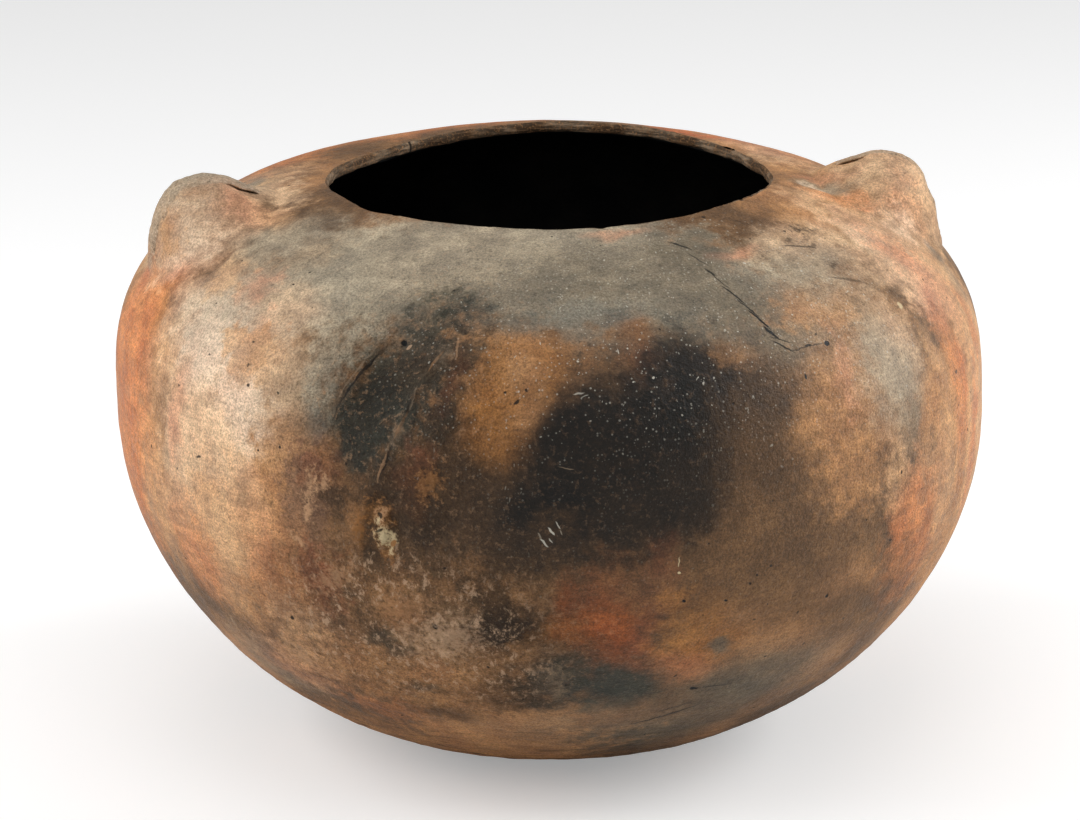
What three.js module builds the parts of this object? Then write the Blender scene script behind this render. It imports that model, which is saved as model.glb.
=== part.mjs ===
// Hand-built earthenware jar: a wide round body with a rolled-in shoulder, an open mouth
// without a neck, and two lugs that stand up from the shoulder.
//
// The pieces are the ones that the potter joined before the jar was fired: a base pressed
// in a shallow form, rings of clay built up on it one by one, a last coil that makes the
// mouth, two solid lugs, and a strap of clay pressed over each lug.
// Millimetres, +Z up, the jar's axis on Z, its resting face on Z = 0, the lugs along X.

import * as THREE from 'three';
import { mergeVertices } from 'three/addons/utils/BufferGeometryUtils.js';

// Driving dimensions of the body
const bellyRadius = 187;
const bellyHeight = 144.8;
const rimHeight = 245.2;
const mouthRadius = 94.2;
const restRadius = 46;
const wallThickness = 6;
const lipThickness = 5.3;
const lipRounding = 1.1;
const floorThickness = 9;

// How full the curve of the wall is below and above the belly: the powers of a
// superellipse, across and up. Two and two would be a plain ellipse.
const lowerFullness = { across: 2.32, up: 1.85 };
const upperFullness = { across: 2.14, up: 3.2 };

// The rings of clay that raise the wall, from the mouth down, with the width of each
// along the outside of the wall. The base takes up what is left. Each seam is a bevel
// that runs down inside the wall, so that the rings overlap.
const lipWidth = 17;
const mouthRingWidth = 43;
const shoulderRingWidth = 45;
const upperBellyRingWidth = 48;
const lowerBellyRingWidth = 52;
const footRingWidth = 57;
const seamLap = 8;
const seamGap = 0.3;

// Driving dimensions of one lug and of its strap, measured on the outside of the wall
const lugFromMouth = 54;
const lugLength = 68;
const lugWidth = 88;
const lugHeight = 17.4;
const lugEdge = 0.8;
const strapWidth = 20;
const strapThickness = 4;
const strapTipThickness = 1.4;
const strapTipSetback = 12;
const strapRootSetback = 3;
const slitLength = 13;
const slitOpening = 1.9;

// What the hand left uneven: the mouth's edge waves up and down, less and less outwards
// until the wave is gone, and the body bows a little to one side. A wave has a height and
// the direction of its highest point.
const rimWaveReach = 52;
const rimDrop = 1.1;
const rimTiltHeight = 2.9;
const rimSagHeight = 1.2;
const rimRippleHeight = 1.7;
const rimWaves = [
  { turns: 1, height: rimTiltHeight, peak: 19 },
  { turns: 2, height: rimSagHeight, peak: -18 },
  { turns: 3, height: rimRippleHeight, peak: 50 },
];
const bodyBow = 1.6;

// Fineness of the facets
const segments = 64;
const facetLength = 16;
const lugRings = 9;
const lugSpokes = 24;
const strapSteps = 20;
const strapStrips = 6;

// The line of the wall in section, from its lowest point to the mouth: a superellipse
// below the belly that flows into a second one above it.
class WallLine extends THREE.Curve {
  constructor({ radius, startRadius, startHeight, endHeight }) {
    super();
    this.arcLengthDivisions = 800;
    this.radius = radius;
    this.lowReach = this.reach(bellyHeight - startHeight, startRadius, lowerFullness);
    this.highReach = this.reach(endHeight - bellyHeight, mouthRadius, upperFullness);
    this.lowAngle = this.angleAt(startRadius, lowerFullness);
    this.highAngle = this.angleAt(mouthRadius, upperFullness);
  }

  // Full height of the superellipse that passes through the given height and radius
  reach(height, atRadius, fullness) {
    return height / (1 - (atRadius / this.radius) ** fullness.across) ** (1 / fullness.up);
  }

  angleAt(atRadius, fullness) {
    return Math.acos((atRadius / this.radius) ** (fullness.across / 2));
  }

  getPoint(t, target = new THREE.Vector2()) {
    const angle = THREE.MathUtils.lerp(-this.lowAngle, this.highAngle, t);
    const below = angle < 0;
    const fullness = below ? lowerFullness : upperFullness;
    const reach = below ? -this.lowReach : this.highReach;
    const across = Math.max(Math.cos(angle), 0) ** (2 / fullness.across);
    const up = Math.abs(Math.sin(angle)) ** (2 / fullness.up);
    return target.set(this.radius * across, bellyHeight + reach * up);
  }

  // Point on the line at a distance from the mouth, measured along the line
  fromMouth(distance) {
    return this.getPointAt(1 - distance / this.getLength());
  }
}

const outside = new WallLine({
  radius: bellyRadius,
  startRadius: restRadius,
  startHeight: 0,
  endHeight: rimHeight,
});

const inside = new WallLine({
  radius: bellyRadius - wallThickness,
  startRadius: 0,
  startHeight: floorThickness,
  endHeight: rimHeight - lipThickness,
});

// Points along a wall line between two distances from the mouth, both ends included
function runOf(line, from, to) {
  const count = Math.max(2, Math.round(Math.abs(to - from) / facetLength));
  const points = [];
  for (let i = 0; i <= count; i += 1) {
    points.push(line.fromMouth(THREE.MathUtils.lerp(from, to, i / count)));
  }
  return points;
}

// Half of the gap at a seam, measured along the wall: the bevel leans, so the wall is
// cut back further than the gap itself.
const seamSetback = (0.5 * seamGap * Math.hypot(seamLap, wallThickness)) / wallThickness;

// The wave of the mouth's edge, for a direction seen from the front of the jar
function rimWave(direction) {
  let rise = -rimDrop;
  for (const wave of rimWaves) {
    const peak = THREE.MathUtils.degToRad(wave.peak);
    rise += wave.height * Math.cos(wave.turns * (direction - peak));
  }
  return rise;
}

// The bow of the body's axis is nil at the rest, at the belly and at the mouth.
function bowShape(height) {
  return height * (bellyHeight - height) * (rimHeight - height);
}
const bowPeak = bowShape(0.42 * bellyHeight);

// Gives a piece that was turned true the unevenness of the hand-built jar
function shapeByHand(geometry) {
  const position = geometry.attributes.position;
  for (let i = 0; i < position.count; i += 1) {
    const x = position.getX(i);
    const y = position.getY(i);
    const z = position.getZ(i);
    const inward = mouthRadius + rimWaveReach - Math.hypot(x, y);
    const share = z > bellyHeight ? THREE.MathUtils.clamp(inward / rimWaveReach, 0, 1) ** 2 : 0;
    position.setX(i, x + (bodyBow * bowShape(z)) / bowPeak);
    position.setZ(i, z + share * rimWave(Math.atan2(x, -y)));
  }
  return geometry;
}

// One closed skin: shared vertices merged and the collapsed triangles on the axis removed
function closedSkin(geometry) {
  geometry.deleteAttribute('normal');
  geometry.deleteAttribute('uv');
  const skin = mergeVertices(geometry, 1e-4);
  const corners = skin.index.array;
  const kept = [];
  for (let i = 0; i < corners.length; i += 3) {
    const [a, b, c] = corners.subarray(i, i + 3);
    if (a !== b && b !== c && c !== a) kept.push(a, b, c);
  }
  skin.setIndex(kept);
  return skin;
}

function finished(name, geometry, { color, roughness }) {
  geometry.computeVertexNormals();
  const material = new THREE.MeshStandardMaterial({ color, roughness, metalness: 0 });
  const piece = new THREE.Mesh(geometry, material);
  piece.name = name;
  return piece;
}

// A ring of the wall, turned from its section: up the outside, then down the inside
function turnedPiece(section) {
  const geometry = new THREE.LatheGeometry(section, segments);
  geometry.rotateX(Math.PI / 2);
  return shapeByHand(closedSkin(geometry));
}

// A ring between two seams, given by their distances from the mouth
function wallRing(upperSeam, lowerSeam) {
  const top = upperSeam + seamSetback;
  const bottom = lowerSeam - seamSetback;
  const section = [
    ...runOf(outside, bottom, top),
    ...runOf(inside, top + seamLap, bottom + seamLap),
  ];
  section.push(section[0].clone());
  return turnedPiece(section);
}

// The base: pressed from one slab, round outside with a small worn flat to stand on
function baseBowl(upperSeam) {
  const seam = upperSeam + seamSetback;
  const section = [
    new THREE.Vector2(0, 0),
    ...runOf(outside, outside.getLength(), seam),
    ...runOf(inside, seam + seamLap, inside.getLength()),
  ];
  section[section.length - 1].x = 0;
  return turnedPiece(section);
}

// A rounded corner between two neighbouring stretches of a section
function roundedCorner(before, corner, after) {
  return new THREE.QuadraticBezierCurve(before, corner, after).getPoints(3);
}

// The last coil: its inner edge is cut upright and makes the mouth
function lipCoil() {
  const bottom = lipWidth - seamSetback;
  const upperEdge = outside.fromMouth(0);
  const lowerEdge = inside.fromMouth(0);
  const section = [
    ...runOf(outside, bottom, 2 * lipRounding),
    ...roundedCorner(
      outside.fromMouth(lipRounding),
      upperEdge,
      new THREE.Vector2(mouthRadius, upperEdge.y - lipRounding),
    ),
    ...roundedCorner(
      new THREE.Vector2(mouthRadius, lowerEdge.y + lipRounding),
      lowerEdge,
      inside.fromMouth(lipRounding),
    ),
    ...runOf(inside, 2 * lipRounding, bottom + seamLap),
  ];
  section.push(section[0].clone());
  return turnedPiece(section);
}

// A point over the outside of the wall. It is given by its distance from the mouth, its
// distance sideways from the middle of the lug, and its height over the wall.
function overShoulder(side, distance, sideways, height) {
  const along = 1 - distance / outside.getLength();
  const foot = outside.getPointAt(along);
  const climb = outside.getTangentAt(along);
  const direction = sideways / foot.x;
  const radius = foot.x + climb.y * height;
  return new THREE.Vector3(
    side * radius * Math.cos(direction),
    radius * Math.sin(direction),
    foot.y - climb.x * height,
  );
}

// Height of the lug's crest, for a place along it from 0 at the mouth's side to 1
function crestHeight(place) {
  return lugHeight * Math.max(Math.sin(Math.PI * place), 0) ** 1.5;
}

const lugInnerEnd = lugFromMouth - lugLength / 2;
const lugOuterEnd = lugFromMouth + lugLength / 2;

// Height of the lug over its foot: it swells along the crest and falls away to both sides
function lugSwell(distance, sideways) {
  const place = (distance - lugInnerEnd) / lugLength;
  const reach = (lugWidth / 2) * Math.sqrt(Math.max(1 - (2 * place - 1) ** 2, 0));
  if (Math.abs(sideways) >= reach) return 0;
  return crestHeight(place) * (1 - (sideways / reach) ** 2) ** 3;
}

function skinOf(vertices, triangles) {
  const geometry = new THREE.BufferGeometry();
  const coordinates = vertices.flatMap((vertex) => vertex.toArray());
  geometry.setAttribute('position', new THREE.Float32BufferAttribute(coordinates, 3));
  geometry.setIndex(triangles);
  return shapeByHand(geometry);
}

// Both faces of a pad share one pattern of triangles, and a band round the edge joins
// them. The underside's vertices follow the top's, and a mirrored pad is turned round.
function padSkin(side, topFace, underFace, pattern, edge) {
  const lower = topFace.length;
  const triangles = [];
  const add = (a, b, c) => triangles.push(...(side > 0 ? [a, b, c] : [a, c, b]));
  for (const [a, b, c] of pattern) {
    add(a, b, c);
    add(lower + a, lower + c, lower + b);
  }
  edge.forEach((here, i) => {
    const next = edge[(i + 1) % edge.length];
    add(here, lower + here, lower + next);
    add(here, lower + next, next);
  });
  return skinOf([...topFace, ...underFace], triangles);
}

// A solid lug luted onto the shoulder: an oval pad of clay swelling to a rounded crest
function lug(side) {
  const topFace = [];
  const underFace = [];
  const pattern = [];
  const addPlace = (distance, sideways) => {
    const top = seamGap + lugEdge + lugSwell(distance, sideways);
    topFace.push(overShoulder(side, distance, sideways, top));
    underFace.push(overShoulder(side, distance, sideways, seamGap));
  };
  const at = (ring, spoke) => (ring === 0 ? 0 : 1 + (ring - 1) * lugSpokes + (spoke % lugSpokes));
  addPlace(lugFromMouth, 0);
  for (let ring = 1; ring <= lugRings; ring += 1) {
    for (let spoke = 0; spoke < lugSpokes; spoke += 1) {
      const angle = (2 * Math.PI * spoke) / lugSpokes;
      const spread = ring / lugRings;
      const distance = lugFromMouth + (lugLength / 2) * spread * Math.cos(angle);
      addPlace(distance, (lugWidth / 2) * spread * Math.sin(angle));
      if (ring > 1) pattern.push([at(ring - 1, spoke), at(ring, spoke), at(ring - 1, spoke + 1)]);
      pattern.push([at(ring - 1, spoke + 1), at(ring, spoke), at(ring, spoke + 1)]);
    }
  }
  const edge = [];
  for (let spoke = 0; spoke < lugSpokes; spoke += 1) edge.push(at(lugRings, spoke));
  return padSkin(side, topFace, underFace, pattern, edge);
}

// How far the strap stands off the lug: it is pressed down along its whole length but
// for a slit just before its tip
function slitAt(fromTip) {
  const place = THREE.MathUtils.clamp(fromTip / slitLength, 0, 1);
  return slitOpening * Math.sin(Math.PI * place);
}

// A strap of clay pressed over the lug from its outer foot to a thin tip near the mouth
function strap(side) {
  const tip = lugInnerEnd + strapTipSetback;
  const root = lugOuterEnd - strapRootSetback;
  const topFace = [];
  const underFace = [];
  const pattern = [];
  const columns = strapStrips + 1;
  for (let step = 0; step <= strapSteps; step += 1) {
    const distance = THREE.MathUtils.lerp(tip, root, step / strapSteps);
    const thickening = THREE.MathUtils.smoothstep(distance, tip, lugFromMouth);
    const thickness = THREE.MathUtils.lerp(strapTipThickness, strapThickness, thickening);
    for (let column = 0; column < columns; column += 1) {
      const sideways = strapWidth * (column / strapStrips - 0.5);
      const rest = seamGap + lugEdge + lugSwell(distance, sideways);
      const under = rest + seamGap + slitAt(distance - tip);
      topFace.push(overShoulder(side, distance, sideways, under + thickness));
      underFace.push(overShoulder(side, distance, sideways, under));
      if (step === 0 || column === 0) continue;
      const here = step * columns + column;
      pattern.push([here - columns - 1, here - 1, here - columns]);
      pattern.push([here - columns, here - 1, here]);
    }
  }
  const edge = [];
  for (let step = 0; step < strapSteps; step += 1) edge.push(step * columns);
  for (let column = 0; column < strapStrips; column += 1) edge.push(strapSteps * columns + column);
  for (let step = strapSteps; step > 0; step -= 1) edge.push(step * columns + strapStrips);
  for (let column = strapStrips; column > 0; column -= 1) edge.push(column);
  return padSkin(side, topFace, underFace, pattern, edge);
}

// Fired earthenware: scraped and scorched below, burnished above, bare at the lip
const scrapedClay = { color: 0x8a5636, roughness: 0.72 };
const burnishedClay = { color: 0x74604f, roughness: 0.48 };
const bareLipClay = { color: 0x6a5442, roughness: 0.8 };
const tanClay = { color: 0xb08a6c, roughness: 0.6 };
const roughClay = { color: 0x8f8175, roughness: 0.85 };

const jar = new THREE.Group();
jar.add(finished('lip_coil', lipCoil(), bareLipClay));
const rings = [
  ['mouth_ring', mouthRingWidth],
  ['shoulder_ring', shoulderRingWidth],
  ['upper_belly_ring', upperBellyRingWidth],
  ['lower_belly_ring', lowerBellyRingWidth],
  ['foot_ring', footRingWidth],
];
let seam = lipWidth;
for (const [name, width] of rings) {
  jar.add(finished(name, wallRing(seam, seam + width), burnishedClay));
  seam += width;
}
jar.add(finished('base_bowl', baseBowl(seam), scrapedClay));
for (const [name, side] of [['left', -1], ['right', 1]]) {
  jar.add(finished(`${name}_lug`, lug(side), tanClay));
  jar.add(finished(`${name}_lug_strap`, strap(side), roughClay));
}

export default jar;
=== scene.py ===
"""A hand-built earthenware jar with a round body, an open mouth without a neck and two lugs.

Sizes are in millimetres and become metres when a mesh is made. A place on the wall is given
as a potter would point to it: by its direction, in degrees round from the front of the jar
towards its right, and by its distance down the outside from the mouth.
"""

import math
import bpy
import numpy as np
from mathutils import Matrix, Vector


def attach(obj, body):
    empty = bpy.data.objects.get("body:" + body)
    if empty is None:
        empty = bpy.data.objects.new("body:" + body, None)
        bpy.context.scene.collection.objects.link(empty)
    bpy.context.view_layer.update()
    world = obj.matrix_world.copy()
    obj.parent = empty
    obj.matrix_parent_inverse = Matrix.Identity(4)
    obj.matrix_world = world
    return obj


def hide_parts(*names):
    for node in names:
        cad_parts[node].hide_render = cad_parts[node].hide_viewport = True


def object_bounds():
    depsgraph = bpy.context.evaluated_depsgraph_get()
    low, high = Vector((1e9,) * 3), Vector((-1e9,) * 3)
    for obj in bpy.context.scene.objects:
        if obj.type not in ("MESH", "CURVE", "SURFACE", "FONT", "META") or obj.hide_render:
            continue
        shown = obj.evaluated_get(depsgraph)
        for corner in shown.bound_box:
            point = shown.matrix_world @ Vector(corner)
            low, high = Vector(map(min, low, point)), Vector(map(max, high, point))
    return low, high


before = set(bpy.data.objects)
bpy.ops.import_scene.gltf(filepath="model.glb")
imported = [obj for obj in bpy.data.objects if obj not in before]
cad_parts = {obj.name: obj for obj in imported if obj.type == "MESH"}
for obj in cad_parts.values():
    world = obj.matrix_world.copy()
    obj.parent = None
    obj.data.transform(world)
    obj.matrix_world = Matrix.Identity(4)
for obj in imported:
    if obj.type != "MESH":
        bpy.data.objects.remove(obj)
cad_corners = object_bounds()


# THE WALL. A base pressed in a shallow form and five rings of coarse clay built up on it,
# scraped thin inside, scraped below the belly and rubbed smooth with a pebble above it.
# The seams were pinched and burnished over, so the rings share one unbroken outer face.

MM = 0.001

# The sizes of the solids: the belly, the rim, the flat that the jar stands on, how far from
# the rim its wave is felt, and how thick the wall, its edge at the lip and the base are
BELLY_RADIUS, BELLY_HEIGHT = 187.0, 144.8
RIM_HEIGHT, MOUTH_RADIUS = 245.2, 94.2
REST_RADIUS, WAVE_REACH = 46.0, 52.0
WALL, LIP, FLOOR = 6.0, 5.3, 9.0
LIP_WIDTH = 17.0

# How full the outline is below its widest line and above it: the powers of its two curves
LOW_ACROSS, LOW_UP = 2.32, 1.85
HIGH_ACROSS, HIGH_UP = 2.14, 3.2

# How far the seams lap, and where each ring's two seams lie, in distance from the mouth
SEAM_LAP = 8.0
RING_SEAMS = {
    "mouth_ring": (LIP_WIDTH, 60),
    "shoulder_ring": (60, 105),
    "upper_belly_ring": (105, 153),
    "lower_belly_ring": (153, 205),
    "foot_ring": (205, 262),
}

# Fineness of the mesh, finer at the front of the jar
COLUMNS = 720
ROW_STEP, INNER_ROW_STEP = 1.5, 7.0
FRONT_CROWDING = 0.38


def wall_line(radius, start_radius, start_height, end_height):
    """The wall's section from the mouth down: distance, radius and height of its points."""
    low_reach = (BELLY_HEIGHT - start_height) / (
        1 - (start_radius / radius) ** LOW_ACROSS
    ) ** (1 / LOW_UP)
    high_reach = (end_height - BELLY_HEIGHT) / (
        1 - (MOUTH_RADIUS / radius) ** HIGH_ACROSS
    ) ** (1 / HIGH_UP)
    top = math.acos((MOUTH_RADIUS / radius) ** (HIGH_ACROSS / 2))
    bottom = math.acos((start_radius / radius) ** (LOW_ACROSS / 2))
    turn = np.linspace(top, -bottom, 6001)
    across, up = np.clip(np.cos(turn), 0, None), np.abs(np.sin(turn))
    above = turn > 0
    r = radius * across ** np.where(above, 2 / HIGH_ACROSS, 2 / LOW_ACROSS)
    z = BELLY_HEIGHT + np.where(
        above, high_reach * up ** (2 / HIGH_UP), -low_reach * up ** (2 / LOW_UP)
    )
    return along(r, z)


def along(r, z):
    """Adds to a section line the distance along it from its first point."""
    return np.concatenate([[0], np.cumsum(np.hypot(np.diff(r), np.diff(z)))]), r, z


shell_line = wall_line(BELLY_RADIUS, REST_RADIUS, 0, RIM_HEIGHT)
hollow_line = wall_line(BELLY_RADIUS - WALL, 0, FLOOR, RIM_HEIGHT - LIP)
SHELL_LENGTH = shell_line[0][-1]
HOLLOW_LENGTH = hollow_line[0][-1]
rest_r = np.linspace(REST_RADIUS, 0, 400)[1:]
shell_line = along(
    np.concatenate([shell_line[1], rest_r]),
    np.concatenate([shell_line[2], 0 * rest_r]),
)


def section_at(line, distance):
    """Radius and height of a section line at a distance, and the way its outside faces."""
    s, r, z = line
    reach = 1.2
    before, after = np.clip(distance - reach, 0, s[-1]), np.clip(distance + reach, 0, s[-1])
    run = np.interp(after, s, r) - np.interp(before, s, r)
    fall = np.interp(after, s, z) - np.interp(before, s, z)
    length = np.hypot(run, fall)
    return np.interp(distance, s, r), np.interp(distance, s, z), -fall / length, run / length


# What the hand left uneven: the rim's waves (how many round the jar, their height, and the
# direction of a crest), how far the whole rim sinks, and how far the body bows to one side
RIM_WAVES = ((1, 2.9, 19), (2, 1.2, -18), (3, 1.7, 50))
RIM_DROP = 1.1
BOW, BOW_PLACE = 1.6, 0.42


def on_the_jar(azimuth, r, z):
    """Places in space, with the wave of the hand-made rim and the slight bow of the body."""
    inward = np.clip((MOUTH_RADIUS + WAVE_REACH - r) / WAVE_REACH, 0, 1) ** 2
    climb = np.where(z > BELLY_HEIGHT, inward, 0)
    wave = -RIM_DROP
    for turns, height, peak in RIM_WAVES:
        wave = wave + height * np.cos(turns * (azimuth - math.radians(peak)))
    bow_peak = BOW_PLACE * (1 - BOW_PLACE) * BELLY_HEIGHT**2 * (RIM_HEIGHT - BOW_PLACE * BELLY_HEIGHT)
    bow = BOW * z * (BELLY_HEIGHT - z) * (RIM_HEIGHT - z) / bow_peak
    return np.stack(
        [r * np.sin(azimuth) + bow, -r * np.cos(azimuth), z + climb * wave], axis=-1
    )


def lumps(place, size, seed):
    """A smooth uneven field over space, from -1 to 1, with lumps about one size across."""
    table = np.random.default_rng(seed).uniform(-1, 1, (48, 48, 48))
    cell = np.floor(place / size).astype(int)
    part = place / size - cell
    part = part * part * (3 - 2 * part)
    total = 0
    for corner in np.ndindex(2, 2, 2):
        share = np.prod(np.where(corner, part, 1 - part), axis=-1)
        i, j, k = np.moveaxis((cell + corner) % 48, -1, 0)
        total = total + share * table[i, j, k]
    return total


def smooth(edge_out, edge_in, value):
    """Rises from 0 at the outer edge to 1 at the inner one."""
    part = np.clip((value - edge_out) / (edge_in - edge_out), 0, 1)
    return part * part * (3 - 2 * part)


def measured_from(azimuth, distance, spot):
    """How far places lie from a spot on the wall: across it and down it, on its own lean."""
    turn, drop, lean = math.radians(spot[0]), spot[1], math.radians(spot[2])
    radius = section_at(shell_line, np.float64(drop))[0]
    across = ((azimuth - turn + math.pi) % (2 * math.pi) - math.pi) * radius
    down = distance - drop
    return (
        across * math.cos(lean) + down * math.sin(lean),
        down * math.cos(lean) - across * math.sin(lean),
    )


# Large damage: where its middle is (direction, distance from the mouth and lean), and how
# far it goes in or stands out, in millimetres
SLATE_HOLLOW, HOLLOW_DEPTH, STEP_DEPTH = (-28.6, 98, 20), 1.3, 1.3
BURST_FLAKE, FLAKE_DEPTH = (-28.6, 156, 18), 1.3
LIMY_CRUST, CRUST_HEIGHT = (-28.3, 157, 28), 1.7
SHOULDER_SCAR, SCAR_DEPTH = (81.7, 24, 0), 0.9
WIDEST_LINE, RUBBED_OFF = 147, 0.55


def relief(azimuth, distance):
    """How far the outer face stands off its true line, in millimetres."""
    r, z, _, _ = section_at(shell_line, distance)
    place = on_the_jar(azimuth, r, z)
    height = 0.50 * lumps(place, 62, 1) + 0.26 * lumps(place, 27, 2) + 0.10 * lumps(place, 11, 3)
    height += 0.05 * lumps(place, 4.5, 4)

    # Strokes of the pebble run round the shoulder, and coarser strokes of the scraper
    # run round the underside.
    stroke = np.stack([place[..., 0] / 9, place[..., 1] / 9, distance + place[..., 0] / 30], -1)
    height += 0.07 * lumps(stroke, 3.4, 5)
    scraped = smooth(225, 275, distance)
    height += scraped * (0.22 * lumps(stroke, 2.4, 6) + 0.12 * lumps(place, 3.0, 7))

    # The slate-dark hollow: a shallow slanting channel, torn rough inside, with a sharp
    # step on its left and a ragged ridge on its right
    u, v = measured_from(azimuth, distance, SLATE_HOLLOW)
    u = u + 1.8 * lumps(place, 9, 13)
    v = v + 3.0 * lumps(place, 10, 14)
    channel = smooth(14.5, 6, np.abs(u)) * smooth(46, 24, np.abs(v))
    step = smooth(-13, -11.6, u) * smooth(6, -5, u) * smooth(26, 10, np.abs(v + 4))
    height -= HOLLOW_DEPTH * channel + STEP_DEPTH * step
    height += channel * (0.45 * lumps(place, 3.6, 15) + 0.22 * lumps(place, 2.2, 16))
    ridge = np.exp(-(((u - 12.5) / 2.2) ** 2)) * smooth(42, 24, np.abs(v - 4))
    height += ridge * (0.7 + 0.9 * lumps(place, 3.2, 8))
    torn = smooth(60, 20, np.hypot(u, v / 1.3 - 12)) * (1 - channel)
    height += torn * (0.28 * lumps(place, 5, 17) + 0.18 * lumps(place, 2.6, 18))

    # The limy crust where a flake of the wall has burst off, and its sunken surround
    u, v = measured_from(azimuth, distance, BURST_FLAKE)
    away = np.hypot(u / 9.5, v / 15) + 0.25 * lumps(place, 6, 9)
    height -= FLAKE_DEPTH * smooth(1.15, 0.8, away)
    u, v = measured_from(azimuth, distance, LIMY_CRUST)
    away = np.hypot(u / 4.2, v / 7.5) + 0.35 * lumps(place, 2.6, 10)
    height += smooth(1.1, 0.7, away) * (CRUST_HEIGHT + 0.7 * lumps(place, 1.9, 11))

    # The scar on the right shoulder: a long shallow facet with a raised lower edge
    u, v = measured_from(azimuth, distance, SHOULDER_SCAR)
    height -= SCAR_DEPTH * smooth(1.1, 0.5, np.hypot(u / 4.5, v / 15))

    # The flat that the jar stands on is worn down to one plane
    worn = smooth(SHELL_LENGTH - 16, SHELL_LENGTH + 2, distance)
    height = height * (1 - worn) - worn * (0.12 + 0.12 * lumps(place, 5, 12))

    # The widest line of the belly is rubbed a little flatter than the rest
    return height - RUBBED_OFF * np.exp(-(((distance - WIDEST_LINE) / 30) ** 2))


# Columns of the mesh stand closer together at the front, where the small damage is
column_turn = np.linspace(-math.pi, math.pi, COLUMNS, endpoint=False)
column_azimuth = column_turn - FRONT_CROWDING * np.sin(column_turn + math.radians(7))


def rows_between(start, end, step):
    """Distances from one place to another, as even as they come to about one step."""
    return np.linspace(start, end, max(2, round(abs(end - start) / step) + 1))


LIP_EDGE = 1.4
seams = [LIP_EDGE, LIP_WIDTH] + [float(lower) for _, lower in RING_SEAMS.values()]
shell_rows = [rows_between(a, b, ROW_STEP) for a, b in zip(seams, seams[1:])]
shell_rows.append(rows_between(seams[-1], SHELL_LENGTH, ROW_STEP))
shell_rows.append(rows_between(SHELL_LENGTH, SHELL_LENGTH + REST_RADIUS - 2, 2.5))


# Where a large chip has gone from the rim, how wide it is, and how far out and down it goes
RIM_BITE, BITE_WIDTH = math.radians(-58), math.radians(8)
BITE_OUTWARD, BITE_DEPTH = 1.6, 1.2


def lip_shift(azimuth):
    """How far the potter's cut wanders: outward, and up, of the true edge of the mouth."""
    around = np.stack([np.sin(azimuth), -np.cos(azimuth), 0 * azimuth], -1) * MOUTH_RADIUS
    outward = 0.7 * lumps(around, 38, 21) + 0.35 * lumps(around, 12, 22) + 0.15 * lumps(around, 4, 23)
    upward = 0.3 * lumps(around, 30, 24) + 0.2 * lumps(around, 9, 25)
    from_bite = (azimuth - RIM_BITE + math.pi) % (2 * math.pi) - math.pi
    bite = np.exp(-((from_bite / BITE_WIDTH) ** 2))
    return outward + BITE_OUTWARD * bite, upward - BITE_DEPTH * bite


def outer_face(distance):
    """The finished outer face over all columns, for rows at these distances."""
    azimuth, distance = np.meshgrid(column_azimuth, distance)
    r, z, across, up = section_at(shell_line, distance)
    height = relief(azimuth, distance)
    near_lip = np.clip(1 - distance / LIP_WIDTH, 0, 1) ** 2
    outward, upward = lip_shift(azimuth)
    r = r + height * across + near_lip * outward
    z = z + height * up + near_lip * upward
    return on_the_jar(azimuth, r, z)


def inner_face(distance):
    """The inside, left as the scraper left it, for rows at these distances."""
    azimuth, distance = np.meshgrid(column_azimuth, distance)
    r, z, across, up = section_at(hollow_line, distance)
    place = on_the_jar(azimuth, r, z)
    height = 0.7 * lumps(place, 40, 31) + 0.35 * lumps(place, 15, 32)
    near_lip = np.clip(1 - distance / LIP_WIDTH, 0, 1) ** 2
    outward, upward = lip_shift(azimuth)
    height = height * (1 - near_lip)
    r = np.maximum(r + height * across, 0) + near_lip * outward
    z = z + height * up + near_lip * upward
    return on_the_jar(azimuth, r, z)


def facing(grid, outward=1):
    """Normals of a grid of places, rows by columns, the columns closing on themselves."""
    across = np.roll(grid, -1, axis=1) - np.roll(grid, 1, axis=1)
    down = np.gradient(grid, axis=0)
    normal = np.cross(down, across) * outward
    return normal / np.maximum(np.linalg.norm(normal, axis=-1, keepdims=True), 1e-9)


shell_distances = np.concatenate([shell_rows[0]] + [rows[1:] for rows in shell_rows[1:]])
shell_places = outer_face(shell_distances)
shell_facing = facing(shell_places)


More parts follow.
